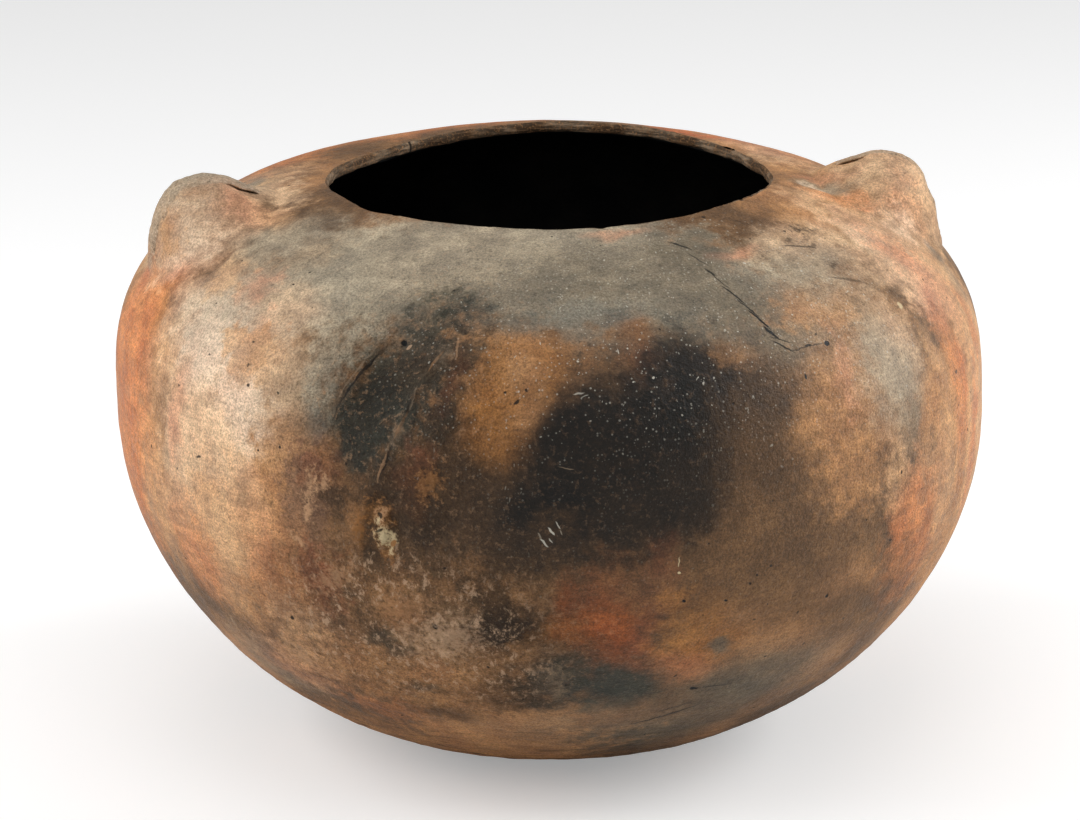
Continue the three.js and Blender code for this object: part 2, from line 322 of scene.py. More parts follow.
def closed_ring(name, bands, poles=()):
    """One piece of the wall from bands of rows that follow each other round its section.

    Every band brings its places, its normals and the finish of its faces. The last row of
    a band and the first of the next are joined by a plain hidden face, or, where the piece
    closes on the axis, each by a fan to its own pole.
    """
    places = np.concatenate([band[0] for band in bands])
    normals = np.concatenate([band[1] for band in bands]).reshape(-1, 3)
    finish = np.concatenate([np.broadcast_to(band[2], len(band[0])) for band in bands])
    rows, columns, _ = places.shape
    grid = np.arange(rows * columns).reshape(rows, columns)
    places = places.reshape(-1, 3)
    right = (np.arange(columns) + 1) % columns
    here, below = grid, np.roll(grid, -1, axis=0)
    faces = np.stack([here, below, below[:, right], here[:, right]], axis=-1)
    loop_normals = normals[faces]
    ends = np.cumsum([len(band[0]) for band in bands]) - 1
    for end in ends:
        corner = places[faces[end]]
        flat = np.cross(corner[:, 2] - corner[:, 0], corner[:, 3] - corner[:, 1])
        flat /= np.maximum(np.linalg.norm(flat, axis=-1, keepdims=True), 1e-9)
        loop_normals[end] = flat[:, None, :]
    if not poles:
        kept = np.ones(rows, dtype=bool)
        fans, fan_normals, fan_finish = [], [], []
    else:
        kept = np.arange(rows) != ends[0]
        outer, inner = grid[ends[0]], grid[ends[0] + 1]
        low, high = len(places), len(places) + 1
        places = np.concatenate([places, poles])
        fans = [[a, low, b] for a, b in zip(outer, outer[right])]
        fans += [[b, high, a] for a, b in zip(inner, inner[right])]
        down, up = [[0, 0, -1]] * (3 * columns), [[0, 0, 1]] * (3 * columns)
        fan_normals = down + up
        fan_finish = [finish[0]] * columns + [finish[-1]] * columns
    return clay_piece(
        name,
        places,
        faces[kept].reshape(-1, 4).tolist() + [[int(i) for i in fan] for fan in fans],
        loop_normals[kept].reshape(-1, 3).tolist() + fan_normals,
        np.concatenate([np.repeat(finish[kept], columns), fan_finish]),
    )


def clay_piece(name, places, faces, loop_normals, finish):
    """A mesh object from places in millimetres, kept within the sizes of the jar."""
    low, high = (np.array(corner) for corner in cad_corners)
    mesh = bpy.data.meshes.new(name)
    mesh.from_pydata(np.clip(np.array(places) * MM, low, high).tolist(), [], faces)
    mesh.polygons.foreach_set("material_index", np.array(finish, dtype=np.int32))
    mesh.polygons.foreach_set("use_smooth", np.ones(len(faces), dtype=bool))
    if loop_normals:
        mesh.normals_split_custom_set(loop_normals)
    piece = bpy.data.objects.new(name, mesh)
    bpy.context.scene.collection.objects.link(piece)
    return piece


# Which of its piece's materials a face has
OUTSIDE, INSIDE, CUT = 0, 1, 2


def ring_bands(upper, lower):
    """Outer rows of a ring from its lower seam up, then its inner rows back down."""
    chosen = (shell_distances >= upper - 1e-6) & (shell_distances <= lower + 1e-6)
    outer = (shell_places[chosen], shell_facing[chosen], OUTSIDE)
    inner_rows = rows_between(lower + SEAM_LAP, upper + SEAM_LAP, INNER_ROW_STEP)
    inside = inner_face(inner_rows)
    return [outer, (inside, facing(inside), INSIDE)]


# The colours that the open fire left in the clay, as they look in plain light; a few of them also paint
# highlights and shade
CLAY_COLOURS = {
    "tan": (180, 131, 88),
    "light_tan": (200, 156, 116),
    "buff": (214, 178, 144),
    "pale_buff": (222, 196, 172),
    "rose": (198, 140, 110),
    "orange": (198, 126, 80),
    "bright_orange": (196, 104, 62),
    "terracotta": (148, 72, 32),
    "red_brown": (130, 78, 52),
    "brown": (108, 80, 54),
    "mauve": (120, 90, 72),
    "dark_brown": (60, 44, 29),
    "umber": (34, 26, 18),
    "soot": (9, 9, 7),
    "slate": (50, 52, 46),
    "blue_grey": (98, 100, 96),
    "dark_grey": (98, 90, 77),
    "grey": (156, 145, 127),
    "warm_grey": (148, 127, 104),
    "ochre": (164, 111, 60),
    "lime": (218, 198, 156),
    "white_grit": (204, 199, 184),
}


def clay_colour(name):
    """A named colour as the shader wants it, in linear light."""
    shares = [part / 255 for part in CLAY_COLOURS[name]]
    return (*(part / 12.92 if part <= 0.04045 else ((part + 0.055) / 1.055) ** 2.4 for part in shares), 1)


# Marks of the fire, and a few painted highlights among them: direction, distance from the mouth, half
# the width and half the height in millimetres, lean, colour, strength, softness of the edge, and torn
# edge or not
STAINS_AND_PAINTED_HIGHLIGHTS = {
    "left_flank_with_painted_highlight": (
        (-82, 125, 40, 95, 0, "orange", 0.9, 0.6, 0),
        # From here to the rose streak, the buff, pale buff and rose over the upper left flank are partly
        # the clay's own colour and partly a painted highlight
        (-56, 96, 52, 50, 0, "buff", 0.85, 0.7, 0),
        (-57, 155, 38, 44, 0, "pale_buff", 0.5, 0.8, 0),
        (-64, 78, 34, 26, 0, "pale_buff", 0.6, 0.9, 0),
        (-56, 100, 26, 30, 0, "pale_buff", 0.45, 0.9, 0),
        (-58, 90, 22, 24, 10, "pale_buff", 0.85, 0.6, 0),
        (-50, 120, 22, 16, 0, "pale_buff", 0.8, 0.6, 1),
        (-57, 142, 34, 26, 0, "buff", 0.85, 0.6, 0),
        (-63, 128, 8, 30, 4, "rose", 0.55, 0.8, 0),
        (-53, 178, 40, 40, 0, "light_tan", 0.85, 0.6, 0),
        (-90, 84, 17, 9, 20, "bright_orange", 0.8, 0.9, 1),
        (-75, 92, 14, 12, 0, "ochre", 0.6, 0.8, 1),
        (-78, 110, 10, 34, 8, "orange", 0.7, 0.7, 0),
        (-62, 190, 15, 28, 0, "orange", 0.6, 0.7, 0),
        (-50, 200, 22, 16, 0, "ochre", 0.4, 0.8, 1),
        (-56, 247, 30, 22, 0, "warm_grey", 0.75, 0.7, 1),
        (-66, 150, 5, 9, 0, "warm_grey", 0.6, 0.8, 1),
        (-70, 175, 16, 40, 0, "light_tan", 0.5, 0.8, 0),
    ),
    "grey_shoulder": (
        (-14, 26, 150, 44, 0, "grey", 0.95, 0.45, 0),
        (-62, 42, 34, 17, 0, "warm_grey", 0.85, 0.7, 1),
        (-44, 56, 38, 18, 0, "grey", 0.8, 0.8, 0),
        (-49, 68, 24, 14, 0, "buff", 0.6, 0.9, 0),
        (-79, 62, 17, 7, -28, "dark_brown", 0.5, 0.9, 1),
        (-72, 70, 14, 8, -20, "brown", 0.4, 0.9, 1),
        (-70, 46, 30, 18, 0, "grey", 0.6, 0.9, 0),
        (-57, 66, 12, 14, 0, "rose", 0.55, 1.0, 1),
        (-52, 78, 13, 10, 0, "rose", 0.4, 1.0, 1),
        (-52, 91, 17, 14, -14, "tan", 0.6, 0.45, 1),
        (-66, 66, 14, 12, 0, "light_tan", 0.6, 0.8, 1),
        (4, 42, 64, 32, 0, "dark_grey", 0.6, 0.9, 0),
        (-22, 62, 40, 13, 6, "dark_grey", 0.6, 0.9, 1),
        (0, 62, 50, 14, 0, "blue_grey", 0.6, 0.9, 1),
        (22, 26, 24, 20, 12, "dark_grey", 0.8, 0.8, 1),
        (22, 58, 36, 22, 20, "dark_grey", 0.6, 0.9, 0),
    ),
    "middle": (
        (-2, 134, 116, 58, 0, "brown", 0.95, 0.7, 0),
        (-19, 138, 62, 42, 0, "dark_brown", 0.75, 0.8, 0),
        (-41, 110, 20, 30, 0, "warm_grey", 0.85, 0.8, 0),
        (-36, 112, 14, 20, 0, "dark_grey", 0.7, 0.9, 1),
        (-39, 118, 9, 16, 0, "blue_grey", 0.5, 0.9, 1),
        (-11, 92, 26, 28, 0, "ochre", 0.97, 0.8, 0),
        (-11, 88, 13, 15, 0, "light_tan", 0.45, 1.0, 0),
        (-12, 110, 22, 20, 20, "ochre", 0.9, 0.9, 0),
        (5.5, 78, 11, 22, 10, "red_brown", 0.5, 1.0, 0),
        (6, 70, 12, 8, 0, "ochre", 0.5, 1.0, 0),
        (3, 118, 54, 38, 0, "soot", 0.97, 0.6, 0),
        (14, 95, 40, 27, 30, "soot", 0.95, 0.7, 0),
        (0, 152, 50, 28, 0, "umber", 0.95, 0.7, 0),
        (-8, 148, 32, 24, 0, "soot", 0.85, 0.8, 0),
        (-6, 166, 48, 18, 0, "umber", 0.85, 0.9, 0),
        (12, 138, 34, 24, 0, "umber", 0.85, 0.7, 0),
        (-10, 160, 40, 14, 0, "dark_brown", 0.8, 0.8, 1),
        (-8.5, 103, 9, 14, 45, "tan", 0.5, 0.9, 0),
        (-13, 130, 14, 16, 0, "dark_brown", 0.45, 0.9, 1),
        (-20, 112, 12, 16, 0, "dark_brown", 0.8, 0.8, 1),
    ),
    "slate_patch": (
        (-25.5, 93, 25, 40, 22, "slate", 0.92, 0.7, 1),
        (-37.5, 91, 13, 24, 15, "grey", 0.7, 0.8, 1),
        (-31, 114, 15, 22, 10, "slate", 0.9, 0.6, 0),
        (-30, 104, 9, 28, 24, "umber", 0.5, 0.9, 1),
        (-19, 80, 18, 14, 0, "dark_brown", 0.45, 0.9, 1),
        (-24, 76, 26, 8, 8, "dark_grey", 0.7, 0.9, 1),
        (-19.5, 94, 6, 22, 12, "dark_brown", 0.45, 0.9, 1),
        (-20, 92, 5, 18, 14, "red_brown", 0.4, 1.0, 1),
        (-22, 84, 20, 16, 0, "dark_brown", 0.5, 0.9, 0),
        (-24, 134, 10, 18, 18, "red_brown", 0.6, 0.9, 1),
        (-24, 150, 26, 26, 0, "dark_brown", 0.8, 0.7, 0),
        (-42, 136, 14, 24, 0, "tan", 0.6, 0.8, 0),
        (-39, 150, 12, 24, 0, "mauve", 0.8, 0.5, 1),
        (-37, 132, 13, 12, 0, "red_brown", 0.5, 0.8, 1),
        (-33, 150, 13, 14, 0, "dark_brown", 0.9, 0.6, 1),
        (-31, 172, 18, 14, 0, "dark_brown", 0.6, 0.9, 1),
        (-32, 155, 12, 18, 0, "tan", 0.5, 1.0, 1),
        (-22, 170, 24, 12, 0, "brown", 0.6, 0.8, 1),
    ),
    "right_of_the_middle_with_painted_highlight": (
        (26, 128, 40, 52, 0, "brown", 0.75, 0.8, 0),
        (22, 112, 20, 44, 0, "dark_brown", 0.6, 0.9, 0),
        (33, 118, 26, 40, 0, "tan", 0.75, 0.9, 0),
        (36, 142, 24, 24, 0, "tan", 0.5, 0.8, 1),
        (45, 104, 24, 38, 0, "grey", 0.85, 0.8, 0),
        (49, 92, 16, 24, 0, "buff", 0.45, 0.9, 0),
        (25, 74, 26, 20, 0, "dark_grey", 0.5, 0.9, 0),
        (47, 134, 12, 15, 0, "dark_grey", 0.5, 0.8, 1),
        (37, 70, 30, 12, 0, "tan", 0.7, 0.8, 1),
        (36, 98, 7, 26, 0, "rose", 0.45, 0.9, 1),
        (44, 48, 36, 26, 0, "grey", 0.8, 0.8, 0),
        (48, 34, 34, 16, 0, "buff", 0.55, 0.9, 0),
        # These two are partly the clay's pale colour and partly a painted highlight on the right shoulder
        (62, 56, 30, 30, 0, "buff", 0.8, 0.8, 0),
        (68, 66, 30, 36, 10, "pale_buff", 0.85, 0.8, 0),
        (64, 74, 16, 26, 10, "rose", 0.5, 0.9, 1),
        (32, 33, 16, 6, 0, "rose", 0.6, 1.0, 0),
        (10, 7, 15, 5, 0, "rose", 0.55, 1.0, 0),
        (20, 84, 14, 8, 0, "tan", 0.35, 0.9, 1),
    ),
    "right_flank": (
        (72, 120, 30, 95, 0, "light_tan", 0.85, 0.6, 0),
        (61, 128, 10, 50, 0, "orange", 0.75, 0.9, 0),
        (63, 120, 4, 40, 0, "bright_orange", 0.2, 1.0, 0),
        (68, 156, 10, 44, 0, "orange", 0.8, 0.8, 0),
        (73, 112, 10, 30, 0, "orange", 0.6, 0.9, 0),
        (64, 80, 24, 24, 0, "rose", 0.7, 0.8, 0),
        (60, 70, 12, 20, 20, "buff", 0.6, 0.9, 1),
        (62, 93, 8, 10, 0, "red_brown", 0.4, 0.7, 1),
        (76, 90, 8, 16, 0, "warm_grey", 0.6, 0.8, 1),
        (56, 110, 8, 26, 0, "light_tan", 0.6, 0.9, 0),
        (50, 158, 18, 26, 24, "light_tan", 0.6, 0.9, 0),
        (46, 166, 14, 24, 24, "orange", 0.55, 0.9, 1),
        (50, 182, 28, 40, 0, "orange", 0.6, 0.9, 0),
        (43, 149, 14, 16, 0, "light_tan", 0.6, 0.9, 1),
        (56, 168, 16, 40, 0, "light_tan", 0.6, 0.9, 0),
    ),
    "below_the_belly": (
        (0, 196, 74, 32, 0, "brown", 0.85, 0.8, 0),
        (-46, 186, 22, 40, 0, "orange", 0.45, 0.9, 0),
        (-41, 200, 26, 50, 0, "tan", 0.4, 1.0, 0),
        (-40, 184, 22, 16, -20, "red_brown", 0.8, 0.8, 1),
        (-42, 210, 26, 20, 0, "mauve", 0.65, 0.8, 1),
        (-34, 230, 44, 28, 0, "tan", 0.75, 0.8, 0),
        (-44, 216, 20, 26, 0, "light_tan", 0.5, 0.9, 1),
        (-42, 180, 10, 22, 0, "tan", 0.5, 0.9, 0),
        (-22, 202, 26, 20, -25, "warm_grey", 0.35, 0.7, 1),
        (-22, 188, 26, 10, 0, "brown", 0.6, 0.8, 1),
        (-15, 186, 14, 26, -12, "dark_brown", 0.8, 0.8, 1),
        (-11, 198, 24, 17, 0, "umber", 0.85, 0.7, 0),
        (-1, 198, 28, 11, -8, "ochre", 0.75, 0.9, 0),
        (1, 202, 20, 34, 0, "terracotta", 0.75, 0.9, 0),
        (-4, 190, 10, 20, 0, "terracotta", 0.45, 1.0, 0),
        (0, 199, 6, 8, 0, "bright_orange", 0.2, 1.0, 0),
        (3, 206, 40, 46, 0, "dark_brown", 0.25, 1.0, 0),
        (7, 182, 10, 26, 0, "red_brown", 0.7, 0.9, 0),
        (5, 214, 9, 16, 0, "red_brown", 0.7, 0.9, 1),
        (13, 196, 18, 14, 0, "ochre", 0.6, 0.9, 0),
    ),
    "low_front": (
        (14, 212, 26, 14, 0, "ochre", 0.85, 0.8, 0),
        (12, 226, 24, 12, 0, "orange", 0.6, 0.9, 0),
        (16, 213, 9, 5, 30, "dark_grey", 0.85, 0.8, 1),
        (-7, 230, 24, 24, 0, "slate", 0.9, 0.7, 1),
        (-8, 231, 9, 11, 0, "warm_grey", 0.6, 0.8, 1),
        (3, 234, 22, 16, 0, "slate", 0.97, 0.7, 0),
        (-14, 236, 26, 14, 0, "dark_brown", 0.6, 0.9, 0),
        (-25, 258, 24, 16, 0, "dark_brown", 0.6, 0.9, 0),
        (2, 248, 28, 14, 0, "slate", 0.75, 0.9, 0),
        (-50, 242, 28, 20, 0, "orange", 0.4, 0.9, 0),
        (-37, 262, 24, 14, 0, "orange", 0.4, 0.9, 1),
        (-26, 240, 14, 3.4, -6, "slate", 0.7, 1.0, 1),
        (-14, 244, 20, 10, 0, "dark_brown", 0.5, 0.9, 1),
        (-31, 207, 9, 8, 0, "slate", 0.7, 0.7, 1),
        (-28, 214, 8, 6, 0, "slate", 0.6, 0.7, 1),
        (10, 182, 30, 16, 0, "brown", 0.7, 0.8, 1),
        (26, 186, 34, 30, 0, "brown", 0.8, 0.8, 0),
        (26, 240, 46, 26, 0, "dark_grey", 0.85, 0.8, 0),
        (38, 215, 34, 20, 24, "brown", 0.7, 0.8, 0),
        (25, 206, 34, 26, 0, "dark_brown", 0.3, 1.0, 0),
        (-24, 262, 26, 12, 0, "dark_brown", 0.35, 1.0, 0),
        (5, 278, 64, 30, 0, "dark_grey", 0.75, 0.8, 0),
        (-20, 296, 60, 34, 0, "tan", 0.6, 0.8, 1),
        (-10.8, 212, 16, 9, 0, "tan", 0.45, 0.9, 1),
        (9, 189, 12, 12, 0, "ochre", 0.45, 0.9, 1),
        (-47, 231, 18, 22, 0, "light_tan", 0.55, 0.9, 1),
    ),
    "back": (
        (165, 120, 80, 50, 8, "dark_brown", 0.85, 0.7, 1),
        (172, 128, 48, 30, 0, "soot", 0.85, 0.8, 0),
        (-150, 96, 60, 42, 0, "grey", 0.7, 0.7, 1),
        (140, 40, 60, 30, 0, "orange", 0.7, 0.8, 0),
        (-168, 22, 80, 20, 0, "orange", 0.7, 0.8, 0),
        (125, 150, 40, 60, 0, "rose", 0.5, 0.8, 0),
        (-125, 175, 50, 40, 0, "ochre", 0.7, 0.8, 1),
        (-112, 110, 30, 52, 0, "light_tan", 0.7, 0.8, 0),
        (-160, 205, 52, 34, 0, "red_brown", 0.7, 0.8, 1),
        (140, 225, 56, 30, 0, "brown", 0.7, 0.8, 1),
        (178, 250, 60, 30, 0, "slate", 0.6, 0.8, 1),
        (105, 205, 40, 36, 0, "ochre", 0.5, 0.8, 1),
    ),
    "lug_feet_with_painted_light": (
        # The buff and pale buff on the front of the left lug are partly its own colour and partly painted
        # light falling on it from the left
        (-92, 56, 50, 38, 0, "buff", 0.75, 0.7, 0),
        (-80, 66, 20, 20, 0, "pale_buff", 0.6, 0.9, 0),
        (-104, 52, 60, 38, 0, "grey", 0.85, 0.6, 0),
        (-82, 40, 22, 12, 0, "rose", 0.6, 0.9, 0),
        (-76, 30, 24, 12, 0, "light_tan", 0.6, 0.9, 0),
        (-86, 72, 12, 9, 0, "warm_grey", 0.5, 0.9, 1),
        (-64, 30, 24, 22, 0, "grey", 0.7, 0.9, 0),
        (-82, 11, 40, 6, 0, "brown", 0.35, 0.9, 1),
        (-95, 22, 36, 12, 0, "buff", 0.5, 0.9, 1),
        (-78, 76, 12, 8, 0, "rose", 0.5, 0.9, 1),
        (-128, 40, 50, 22, 0, "orange", 0.8, 0.8, 0),
        (-112, 24, 26, 10, 0, "light_tan", 0.6, 0.9, 1),
        (92, 54, 46, 38, 0, "buff", 0.8, 0.7, 0),
        (84, 46, 22, 20, 0, "buff", 0.6, 0.9, 0),
        (80, 58, 16, 18, 0, "orange", 0.45, 1.0, 1),
        (77, 26, 7, 20, -4, "orange", 0.7, 0.9, 1),
        (86, 22, 6, 16, 0, "rose", 0.6, 0.9, 0),
        (81.7, 22, 6, 16, 0, "grey", 0.75, 0.8, 0),
        (81.3, 18, 3, 10, 0, "pale_buff", 0.5, 0.9, 1),
        (70, 22, 20, 20, 0, "buff", 0.5, 0.9, 1),
        (112, 14, 24, 14, 0, "buff", 0.7, 0.9, 1),
        (66, 56, 18, 26, 10, "rose", 0.4, 0.9, 1),
        (78, 78, 7, 6, 0, "blue_grey", 0.7, 0.9, 1),
        (76, 61, 14, 12, 0, "pale_buff", 0.5, 0.9, 1),
        (-89, 14, 24, 9, 0, "buff", 0.6, 0.9, 1),
        (-84, 68, 11, 7, 0, "tan", 0.7, 0.9, 1),
        (122, 22, 40, 20, 0, "rose", 0.6, 0.9, 0),
        (140, 12, 22, 12, 0, "bright_orange", 0.7, 0.9, 1),
    ),
}

# Small damage, and painted light and shade along the edges of the hollow and beside one pit: direction,
# distance, half width, half length, lean, colour and strength, and how deep it goes, in millimetres,
# where it does
MARKS = {
    "hairline_crack": (
        (21.0, 21, 0.40, 5.0, -42, "soot", 0.9),
        (22.3, 32, 0.28, 5.5, -25, "umber", 0.7),
        (22.6, 41, 0.50, 2.6, -20, "soot", 0.9),
        (23.2, 47, 0.26, 6.0, -16, "umber", 0.8),
        (23.9, 56, 0.38, 6.0, -22, "soot", 0.9),
        (24.8, 64, 0.32, 6.0, -24, "soot", 0.9),
        (25.6, 71, 0.45, 5.5, -24, "soot", 1.0),
        (26.3, 78, 0.55, 4.0, -30, "soot", 1.0),
        (27.3, 82, 0.30, 5.0, -62, "umber", 0.8),
        (27.2, 85, 0.38, 5.0, -48, "soot", 0.9),
        (29.6, 87.6, 0.24, 5.0, 88, "umber", 0.7),
        (31.2, 87.0, 0.50, 1.8, 88, "soot", 0.9),
        (32.8, 87.2, 0.24, 3.2, 88, "umber", 0.7),
        (34.5, 88.0, 1.0, 1.0, 0, "soot", 1.0),
    ),
    "pits": (
        (-51, 49.5, 0.5, 0.6, 0, "umber", 0.9),
        (-51.2, 89, 0.6, 0.5, 0, "umber", 0.9),
        (-58.2, 99.5, 0.6, 0.5, 0, "umber", 0.8),
        (-50.3, 99, 0.4, 0.8, 0, "umber", 0.8),
        (-62.8, 116.5, 0.6, 0.6, 0, "umber", 0.9),
        (-70, 149, 0.5, 0.7, 0, "umber", 0.9),
        (-57.7, 143, 1.4, 0.5, -20, "umber", 0.9),
        # A painted highlight on the lower right rim of the pit in the next row
        (-26.9, 78.0, 0.5, 1.2, 60, "buff", 0.6),
        (-27.8, 76.5, 1.3, 1.0, 30, "soot", 1.0, 1.4),
        (-11, 100, 0.5, 1.2, 40, "soot", 0.9),
        (-22, 140.5, 1.0, 0.7, 0, "soot", 1.0, 1.0),
        (-22.5, 199.5, 0.9, 1.5, -30, "soot", 1.0, 1.2),
        (-45, 208.5, 0.7, 1.3, 45, "soot", 0.9, 0.9),
        (29, 99.5, 0.6, 1.0, -10, "soot", 1.0),
        (33.5, 83, 0.6, 0.5, 0, "umber", 0.8),
    ),
    "low_pits": (
        (10.2, 187.5, 0.7, 0.6, 0, "soot", 1.0, 0.8),
        (16, 189.5, 0.8, 0.5, 0, "soot", 1.0, 0.8),
        (20, 179.5, 0.6, 0.6, 0, "umber", 0.9),
        (22, 176, 0.6, 0.5, 0, "umber", 0.9),
        (32.2, 198, 0.6, 0.9, 30, "soot", 1.0, 0.8),
        (24.8, 226, 0.7, 0.5, 0, "soot", 0.9),
        (10.8, 230, 0.4, 1.0, 30, "soot", 0.9),
        (14.5, 240.5, 1.5, 0.9, 20, "soot", 1.0, 1.4),
        (18, 241, 6.5, 0.3, 4, "umber", 0.7),
        (7.5, 240, 5.0, 0.3, 4, "umber", 0.6),
        (20.8, 202, 0.6, 0.5, 0, "umber", 0.8),
        (27.8, 203, 0.5, 0.8, 30, "umber", 0.8),
        (37.5, 214.5, 0.6, 0.8, 0, "umber", 0.8),
        (31.3, 223.5, 0.5, 1.0, 30, "umber", 0.8),
        (44, 150, 0.5, 0.8, 10, "soot", 0.9),
    ),
    "scratches": (
        (-3, 96.5, 2.0, 0.28, -12, "white_grit", 0.5),
        (-2.2, 97.6, 1.4, 0.25, -20, "white_grit", 0.4),
        (-4.8, 126.5, 2.4, 0.25, 8, "warm_grey", 0.5),
        (-6.0, 150.5, 0.25, 1.7, -32, "white_grit", 0.6),
        (-6.8, 153.0, 0.35, 1.9, -36, "white_grit", 0.8),
        (-7.7, 158, 0.40, 1.8, -40, "white_grit", 0.7),
        (-8.2, 155, 0.25, 1.4, -30, "grey", 0.6),
        (-7.0, 157, 0.22, 1.2, -34, "white_grit", 0.6),
        (-5.6, 153.6, 0.22, 1.0, -38, "grey", 0.7),
        (9.2, 169, 0.25, 2.2, 0, "lime", 0.6),
        (9.3, 174, 0.6, 0.6, 0, "lime", 0.9),
        (11.5, 260.5, 0.5, 14, 66, "umber", 0.9),
        (12.5, 254, 0.4, 8, 68, "umber", 0.6),
        (53, 83.5, 1.0, 1.8, 20, "lime", 0.7, 0.3),
        (60.5, 120.5, 0.9, 1.0, 0, "umber", 0.8),
    ),
    "smears": (
        (52.5, 30.5, 6.5, 4.0, 25, "dark_brown", 0.75),
        (49, 36, 4.5, 1.6, -20, "dark_brown", 0.6),
        (50.5, 28.5, 3.4, 4.0, 35, "dark_brown", 0.75),
        (45.5, 33, 3.4, 2.4, 20, "dark_brown", 0.65),
        (48.6, 41, 5.5, 1.8, -10, "dark_brown", 0.7),
        (47.3, 54, 4.6, 2.0, -25, "dark_brown", 0.7),
        (45.5, 38, 0.5, 9, -62, "umber", 0.7),
        (47, 63, 0.6, 8, -60, "dark_brown", 0.6),
    ),
    "painted_light_and_shade_on_hollow_edges": (
        # Painted light and shade: thin pale lines where the step and the ridge of the hollow catch the
        # light, and soot-black and umber lines in the shade beside them
        (-33.4, 93, 0.40, 13, 25, "warm_grey", 0.35),
        (-32.9, 95, 0.42, 12, 25, "soot", 0.8),
        (-31.2, 84, 0.5, 6, 30, "soot", 0.5),
        (-34.8, 108, 0.4, 6, 14, "umber", 0.6),
        (-27.4, 126, 0.5, 8, 20, "soot", 0.6),
        (-28.1, 130, 0.5, 6, 20, "light_tan", 0.4),
        (-25.8, 112, 0.45, 6, 22, "tan", 0.4),
        (-24.6, 101, 0.4, 5, 8, "warm_grey", 0.45),
        (-25.2, 106, 0.6, 8, 16, "umber", 0.5),
        (-22.4, 84, 0.5, 5, 24, "tan", 0.4),
        (-19.8, 77, 0.5, 5, -6, "light_tan", 0.4),
    ),
    "flake_scars": (
        (-29, 158, 9.5, 15, -10, "umber", 0.75),
        (-31.6, 156, 2.6, 9.0, 5, "ochre", 0.8),
        (-28.6, 152, 5.2, 10, -20, "ochre", 0.8),
        (-28.0, 163, 5.0, 9.5, -28, "ochre", 0.8),
        (-28.6, 151, 3.0, 4.6, 0, "light_tan", 0.8),
        (-27.9, 160, 4.0, 6.6, -28, "lime", 0.95),
        (-28.9, 153, 1.7, 2.2, 0, "lime", 0.8),
        (-28.6, 150.6, 1.2, 0.9, 20, "umber", 0.9),
        (-27.0, 162.5, 1.3, 0.9, -50, "ochre", 0.9),
        (-28.7, 157.0, 1.4, 0.6, -30, "umber", 0.8),
        (-38.6, 148, 2.6, 13, 8, "light_tan", 0.8),
        (-36.4, 141, 2.6, 5.0, 40, "light_tan", 0.7),
        (-40.5, 167, 2.0, 7.0, -50, "light_tan", 0.7),
        (-22, 135, 6.0, 9.0, 30, "ochre", 0.5),
        (-26.2, 116, 3.4, 9, 18, "warm_grey", 0.3),
        (-21.6, 82, 4.2, 7, 20, "warm_grey", 0.35),
        (-36, 182, 14, 6, -30, "light_tan", 0.4),
        (-27, 194, 15, 9, -20, "tan", 0.5),
        (-21, 206, 18, 12, -20, "buff", 0.4),
        (-46, 234, 5, 14, -40, "light_tan", 0.5),
    ),
}


def add(tree, kind, joins, **settings):
    """One shader node, with a value or another node's output put to each socket named."""
    node = tree.nodes.new("ShaderNode" + kind)
    for name, value in settings.items():
        setattr(node, name, value)
    for socket, value in joins.items():
        if isinstance(value, bpy.types.NodeSocket):
            tree.links.new(value, node.inputs[socket])
        else:
            node.inputs[socket].default_value = value
    return node


def noise(tree, place, grain, detail=2.0, rough=0.5, output=0):
    """An uneven field with a grain of so many millimetres."""
    joins = {"Vector": place, "Scale": 1 / grain, "Detail": detail, "Roughness": rough}
    return add(tree, "TexNoise", joins).outputs[output]


def stretched(tree, place, x, y, z):
    """Places drawn out along the axes that have a share under one."""
    return add(tree, "VectorMath", {0: place, 1: (x, y, z)}, operation="MULTIPLY").outputs[0]


def between(tree, value, low, high, to_low=0.0, to_high=1.0):
    """A value that passes softly from one level to another between two limits."""
    joins = {"Value": value, "From Min": low, "From Max": high, "To Min": to_low, "To Max": to_high}
    return add(tree, "MapRange", joins, interpolation_type="SMOOTHSTEP", clamp=False).outputs[0]


def reckon(tree, kind, *values):
    """One step of arithmetic on numbers or on other nodes' outputs."""
    return add(tree, "Math", dict(enumerate(values)), operation=kind).outputs[0]


def laid_over(tree, share, under, over, kind="MIX"):
    """A share of one colour laid over another."""
    joins = {0: share, 6: under, 7: over}
    return add(tree, "Mix", joins, data_type="RGBA", blend_type=kind).outputs[2]


def nearness(tree, place, azimuth, distance, half_across, half_down, lean, depth):
    """How near places are to a spot on the wall: 1 in its middle, 0 at its edge and beyond."""
    turn, tilt = math.radians(azimuth), math.radians(lean)
    r, z, across, up = section_at(shell_line, np.float64(distance))
    middle = on_the_jar(turn, r, z)
    sideways = np.array([math.cos(turn), math.sin(turn), 0])
    outward = np.array([across * math.sin(turn), -across * math.cos(turn), up])
    down = np.cross(sideways, outward)
    first = math.cos(tilt) * sideways + math.sin(tilt) * down
    second = math.cos(tilt) * down - math.sin(tilt) * sideways
    axes = Matrix(np.stack([first, second, np.cross(first, second)], axis=1).tolist())
    joins = {
        "Vector": place, "Location": middle.tolist(), "Rotation": axes.to_euler(),
        "Scale": (half_across, half_down, depth),
    }
    local = add(tree, "Mapping", joins, vector_type="TEXTURE").outputs[0]
    return add(tree, "TexGradient", {0: local}, gradient_type="SPHERICAL").outputs["Fac"]


